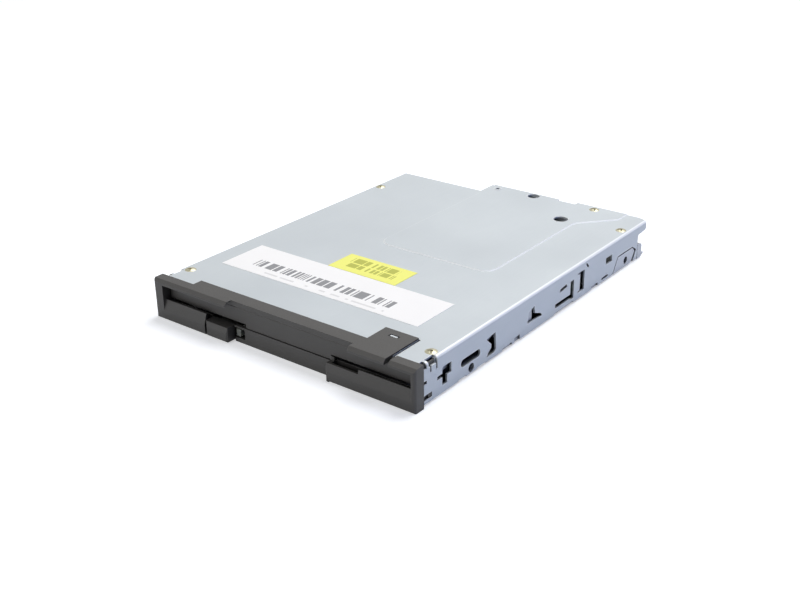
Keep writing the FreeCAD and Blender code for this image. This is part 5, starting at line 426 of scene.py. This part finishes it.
def flex_amber():
    """Polyimide film with its printed lines showing through."""
    finish = Finish("flex_amber", roughness=0.26)
    lines = finish.bands("X", 1.0 * MM)
    clouds = finish.noise(5.0 * MM)
    film = finish.tint(finish.spread(clouds, 0.0, 1.0), (0.50, 0.23, 0.045), (0.62, 0.31, 0.07))
    finish.set("Base Color", finish.tint(finish.spread(lines, 0.0, 0.5, 0.2, 0.8), film, (0.36, 0.14, 0.03)))
    finish.set("Roughness", finish.spread(clouds, 0.22, 0.36))
    finish.relief(lines, 0.01 * MM, 0.05 * MM)
    return finish.material


def ceramic():
    """The heads: polished dark ceramic with a fine speckle."""
    finish = Finish("ceramic", roughness=0.14)
    speckle = finish.noise(0.2 * MM, detail=4.0)
    speckled = finish.tint(finish.spread(speckle, 0.0, 1.0), (0.22, 0.20, 0.18), (0.36, 0.335, 0.31))
    finish.set("Base Color", speckled)
    finish.set("Roughness", finish.spread(speckle, 0.1, 0.2))
    finish.relief(speckle, 0.002 * MM, 0.06 * MM)
    return finish.material


def paper(finish, colour, ink, printed):
    """Coated label paper: a fibrous sheet, slightly soiled in broad clouds, with the printed share inked."""
    fibres = finish.noise(0.35 * MM, detail=4.0, stretch=(1.0, 2.5, 1.0))
    soil = finish.noise(12.0 * MM, detail=4.0)
    dusty = tuple(channel * 0.96 for channel in colour)
    sheet = finish.tint(finish.spread(soil, 0.0, 0.7), colour, dusty)
    fibrous = finish.tint(finish.spread(fibres, 0.0, 0.25), sheet, dusty)
    finish.set("Base Color", finish.tint(printed, fibrous, ink))
    finish.set("Roughness", finish.spread(fibres, 0.46, 0.6))
    finish.relief(fibres, 0.006 * MM, 0.03 * MM)


# The print on the labels, which says nothing: a band of strokes and rows of dashes. Each lies between two
# corners in the drive's millimetres. The others are the width of a module, the share of the modules that is
# inked, the number that their chance starts from, and how dense the ink is.
STROKE_BAND = ((15.6, 21.3), (68.4, 25.6))
STROKE_MODULE = 0.45 * MM
STROKE_SHARE = 0.66
STROKE_START = 3.5
SMALL_ROW = ((23.0, 18.5), (68.6, 19.3))
DASH_MODULE = 1.1 * MM
DASH_SHARE = 0.6
DASH_START = 11.5
DASH_INK = 0.3
YELLOW_FRONT_ROW = ((38.8, 37.0), (57.4, 39.7))
YELLOW_REAR_ROW = ((38.4, 40.4), (56.0, 43.6))
YELLOW_MODULE = 0.36 * MM
YELLOW_SHARE = 0.68
YELLOW_START = 7.5
YELLOW_INK = 0.9


def label_white():
    """The white label, with a band of grey strokes and one faint row of dashes."""
    finish = Finish("label_white", roughness=0.5)
    strokes = finish.strokes(STROKE_MODULE, STROKE_SHARE, STROKE_START)
    dashes = finish.strokes(DASH_MODULE, DASH_SHARE, DASH_START)
    band = finish.sum_of("MULTIPLY", finish.patch(*STROKE_BAND), strokes)
    row = finish.sum_of("MULTIPLY", finish.patch(*SMALL_ROW), dashes)
    faint = finish.sum_of("MULTIPLY", row, DASH_INK)
    paper(finish, (0.955, 0.955, 0.96), (0.25, 0.255, 0.27), finish.sum_of("MAXIMUM", band, faint))
    return finish.material


def label_yellow():
    """The yellow label, with two rows of olive strokes."""
    finish = Finish("label_yellow", roughness=0.5)
    rows = finish.sum_of("MAXIMUM", finish.patch(*YELLOW_FRONT_ROW), finish.patch(*YELLOW_REAR_ROW))
    printed = finish.sum_of("MULTIPLY", rows, finish.strokes(YELLOW_MODULE, YELLOW_SHARE, YELLOW_START))
    faint = finish.sum_of("MULTIPLY", printed, YELLOW_INK)
    paper(finish, (0.91, 0.915, 0.21), (0.42, 0.44, 0.05), faint)
    return finish.material


def dress_nodes():
    """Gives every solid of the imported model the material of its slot."""
    makers = [cover_steel, base_steel, black_plastic, clear_plastic, grey_plastic, white_plastic,
              dark_plastic, bright_steel, brass_steel, spring_steel, cast_alloy, brass, copper, magnet,
              core_steel, board_green, flex_amber, ceramic, label_white, label_yellow]
    materials = {maker.__name__: maker() for maker in makers}
    for part in frame["record"]["subparts"]:
        node = frame["nodes"][part["node"]]
        node.data.materials.clear()
        node.data.materials.append(materials[part["material_slot"]])


# The cover's three solids meet at the height of its sheet's underside. A fold sharper than the angle below
# shows as an edge.
COVER_NODES = ("top_cover", "cover_side_left", "cover_side_right")
SHEET_UNDERSIDE = 11.4
COVER_WALL = 0.6
FOLD_ANGLE = math.radians(30.0)
TINY = 0.005 * MM


def fold_cover():
    """Shows the cover as the one folded sheet that it is: its three solids, without their seams."""
    sheet = bmesh.new()
    for name in COVER_NODES:
        node = frame["nodes"][name]
        copy = node.data.copy()
        copy.transform(node.matrix_world)
        sheet.from_mesh(copy)
        bpy.data.meshes.remove(copy)
    inner_side = across(CHASSIS_WIDTH - COVER_WALL) - TINY
    seams = [face for face in sheet.faces
             if all(abs(corner.co.z - above(SHEET_UNDERSIDE)) < TINY and abs(corner.co.x) > inner_side
                    for corner in face.verts)]
    bmesh.ops.delete(sheet, geom=seams, context="FACES")
    bmesh.ops.remove_doubles(sheet, verts=sheet.verts, dist=TINY)
    for face in sheet.faces:
        face.smooth = True
    for edge in sheet.edges:
        edge.smooth = len(edge.link_faces) == 2 and edge.calc_face_angle() < FOLD_ANGLE
    mesh = bpy.data.meshes.new("folded_cover")
    sheet.to_mesh(mesh)
    sheet.free()
    mesh.materials.append(frame["nodes"][COVER_NODES[0]].data.materials[0])
    cover = bpy.data.objects.new("folded_cover", mesh)
    bpy.context.scene.collection.objects.link(cover)
    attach(cover, "case")
    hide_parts(*COVER_NODES)


def shown_white(tree, strength, dim, bright):
    """Makes a backdrop shine brightly for what the camera, a mirror or clear plastic sees, else dimly."""
    rays = tree.nodes.new("ShaderNodeLightPath")
    seen = rays.outputs["Is Camera Ray"]
    for kind in ("Is Glossy Ray", "Is Transmission Ray"):
        either = tree.nodes.new("ShaderNodeMath")
        either.operation = "MAXIMUM"
        tree.links.new(seen, either.inputs[0])
        tree.links.new(rays.outputs[kind], either.inputs[1])
        seen = either.outputs["Value"]
    level = tree.nodes.new("ShaderNodeMapRange")
    tree.links.new(seen, level.inputs["Value"])
    level.inputs["To Min"].default_value = dim
    level.inputs["To Max"].default_value = bright
    tree.links.new(level.outputs["Result"], strength)


FLOOR_REACH = 6.0
FLOOR_GAP = 0.02 * MM
FLOOR_COLOUR = (0.74, 0.77, 0.82, 1.0)
WHITE = (1.0, 1.0, 1.0, 1.0)


def make_floor():
    """A wide pale floor that keeps the drive's soft shadow."""
    mesh = bpy.data.meshes.new("floor")
    corners = [(-FLOOR_REACH, -FLOOR_REACH, 0.0), (FLOOR_REACH, -FLOOR_REACH, 0.0),
               (FLOOR_REACH, FLOOR_REACH, 0.0), (-FLOOR_REACH, FLOOR_REACH, 0.0)]
    mesh.from_pydata(corners, [], [(0, 1, 2, 3)])
    floor = bpy.data.objects.new("floor", mesh)
    floor.location.z = -FLOOR_GAP
    bpy.context.scene.collection.objects.link(floor)
    material = bpy.data.materials.new("floor_paper")
    material.use_nodes = True
    shader = material.node_tree.nodes["Principled BSDF"]
    shader.inputs["Base Color"].default_value = FLOOR_COLOUR
    shader.inputs["Roughness"].default_value = 0.9
    shader.inputs["Specular IOR Level"].default_value = 0.1
    shader.inputs["Emission Color"].default_value = WHITE
    shown_white(material.node_tree, shader.inputs["Emission Strength"], 0.0, 0.5)
    mesh.materials.append(material)


def make_world():
    """Even white surroundings, dimmer as a light than they look."""
    world = bpy.data.worlds.new("studio")
    world.use_nodes = True
    bpy.context.scene.world = world
    background = world.node_tree.nodes["Background"]
    background.inputs["Color"].default_value = WHITE
    shown_white(world.node_tree, background.inputs["Strength"], 0.10, 1.0)


LAMP_WIDTH = 0.6


def make_lamp(name, place, power, colour):
    """A soft square lamp at a place in metres, turned towards the drive's middle."""
    lamp = bpy.data.lights.new(name, "AREA")
    lamp.shape = "SQUARE"
    lamp.size = LAMP_WIDTH
    lamp.energy = power
    lamp.color = colour
    holder = bpy.data.objects.new(name, lamp)
    holder.location = place
    holder.rotation_euler = (-Vector(place)).to_track_quat("-Z", "Y").to_euler()
    bpy.context.scene.collection.objects.link(holder)


def make_lamps():
    """A lamp overhead and a little behind, one before the bezel, and a weak blue one low at the right."""
    make_lamp("overhead", (0.04, 0.38, 0.86), 8.2, (1.0, 0.985, 0.965))
    make_lamp("front_fill", (-0.3, -0.85, 0.5), 3.1, (1.0, 0.99, 0.97))
    make_lamp("right_fill", (0.9, 0.1, 0.3), 1.4, (0.04, 0.22, 1.0))


# The camera, found by fitting the case's corners and screws: the picture's width and the focal length in
# pixels, the way it looks, how far it stands off from its aim, and how far that aim is from the picture's
# middle, to the right and down.
PICTURE_WIDTH = 800.0
FOCAL_PIXELS = 1111.52
AZIMUTH = math.radians(36.99)
ELEVATION = math.radians(23.21)
ROLL = math.radians(-0.46)
STAND_OFF = 353.46 * MM
AIM = Vector((0.0, 1.925 * MM, 6.25 * MM))
RIGHT_PIXELS = 19.75
DOWN_PIXELS = -36.65
SENSOR_WIDTH = 36.0


def make_camera():
    """The camera at the photograph's place."""
    camera = bpy.data.cameras.new("camera")
    camera.sensor_width = SENSOR_WIDTH
    camera.lens = FOCAL_PIXELS * SENSOR_WIDTH / PICTURE_WIDTH
    camera.shift_x = -RIGHT_PIXELS / PICTURE_WIDTH
    camera.shift_y = DOWN_PIXELS / PICTURE_WIDTH
    camera.clip_start = 0.01
    back = Vector((math.sin(AZIMUTH) * math.cos(ELEVATION), -math.cos(AZIMUTH) * math.cos(ELEVATION),
                   math.sin(ELEVATION)))
    level = Vector((math.cos(AZIMUTH), math.sin(AZIMUTH), 0.0))
    upright = back.cross(level)
    right = level * math.cos(ROLL) + upright * math.sin(ROLL)
    up = upright * math.cos(ROLL) - level * math.sin(ROLL)
    turn = Matrix((right, up, back)).transposed().to_4x4()
    holder = bpy.data.objects.new("camera", camera)
    holder.matrix_world = Matrix.Translation(AIM + back * STAND_OFF) @ turn
    bpy.context.scene.collection.objects.link(holder)
    bpy.context.scene.camera = holder


make_camera()
dress_nodes()
fold_cover()
make_floor()
make_world()
make_lamps()
bpy.context.scene.view_settings.view_transform = "Standard"
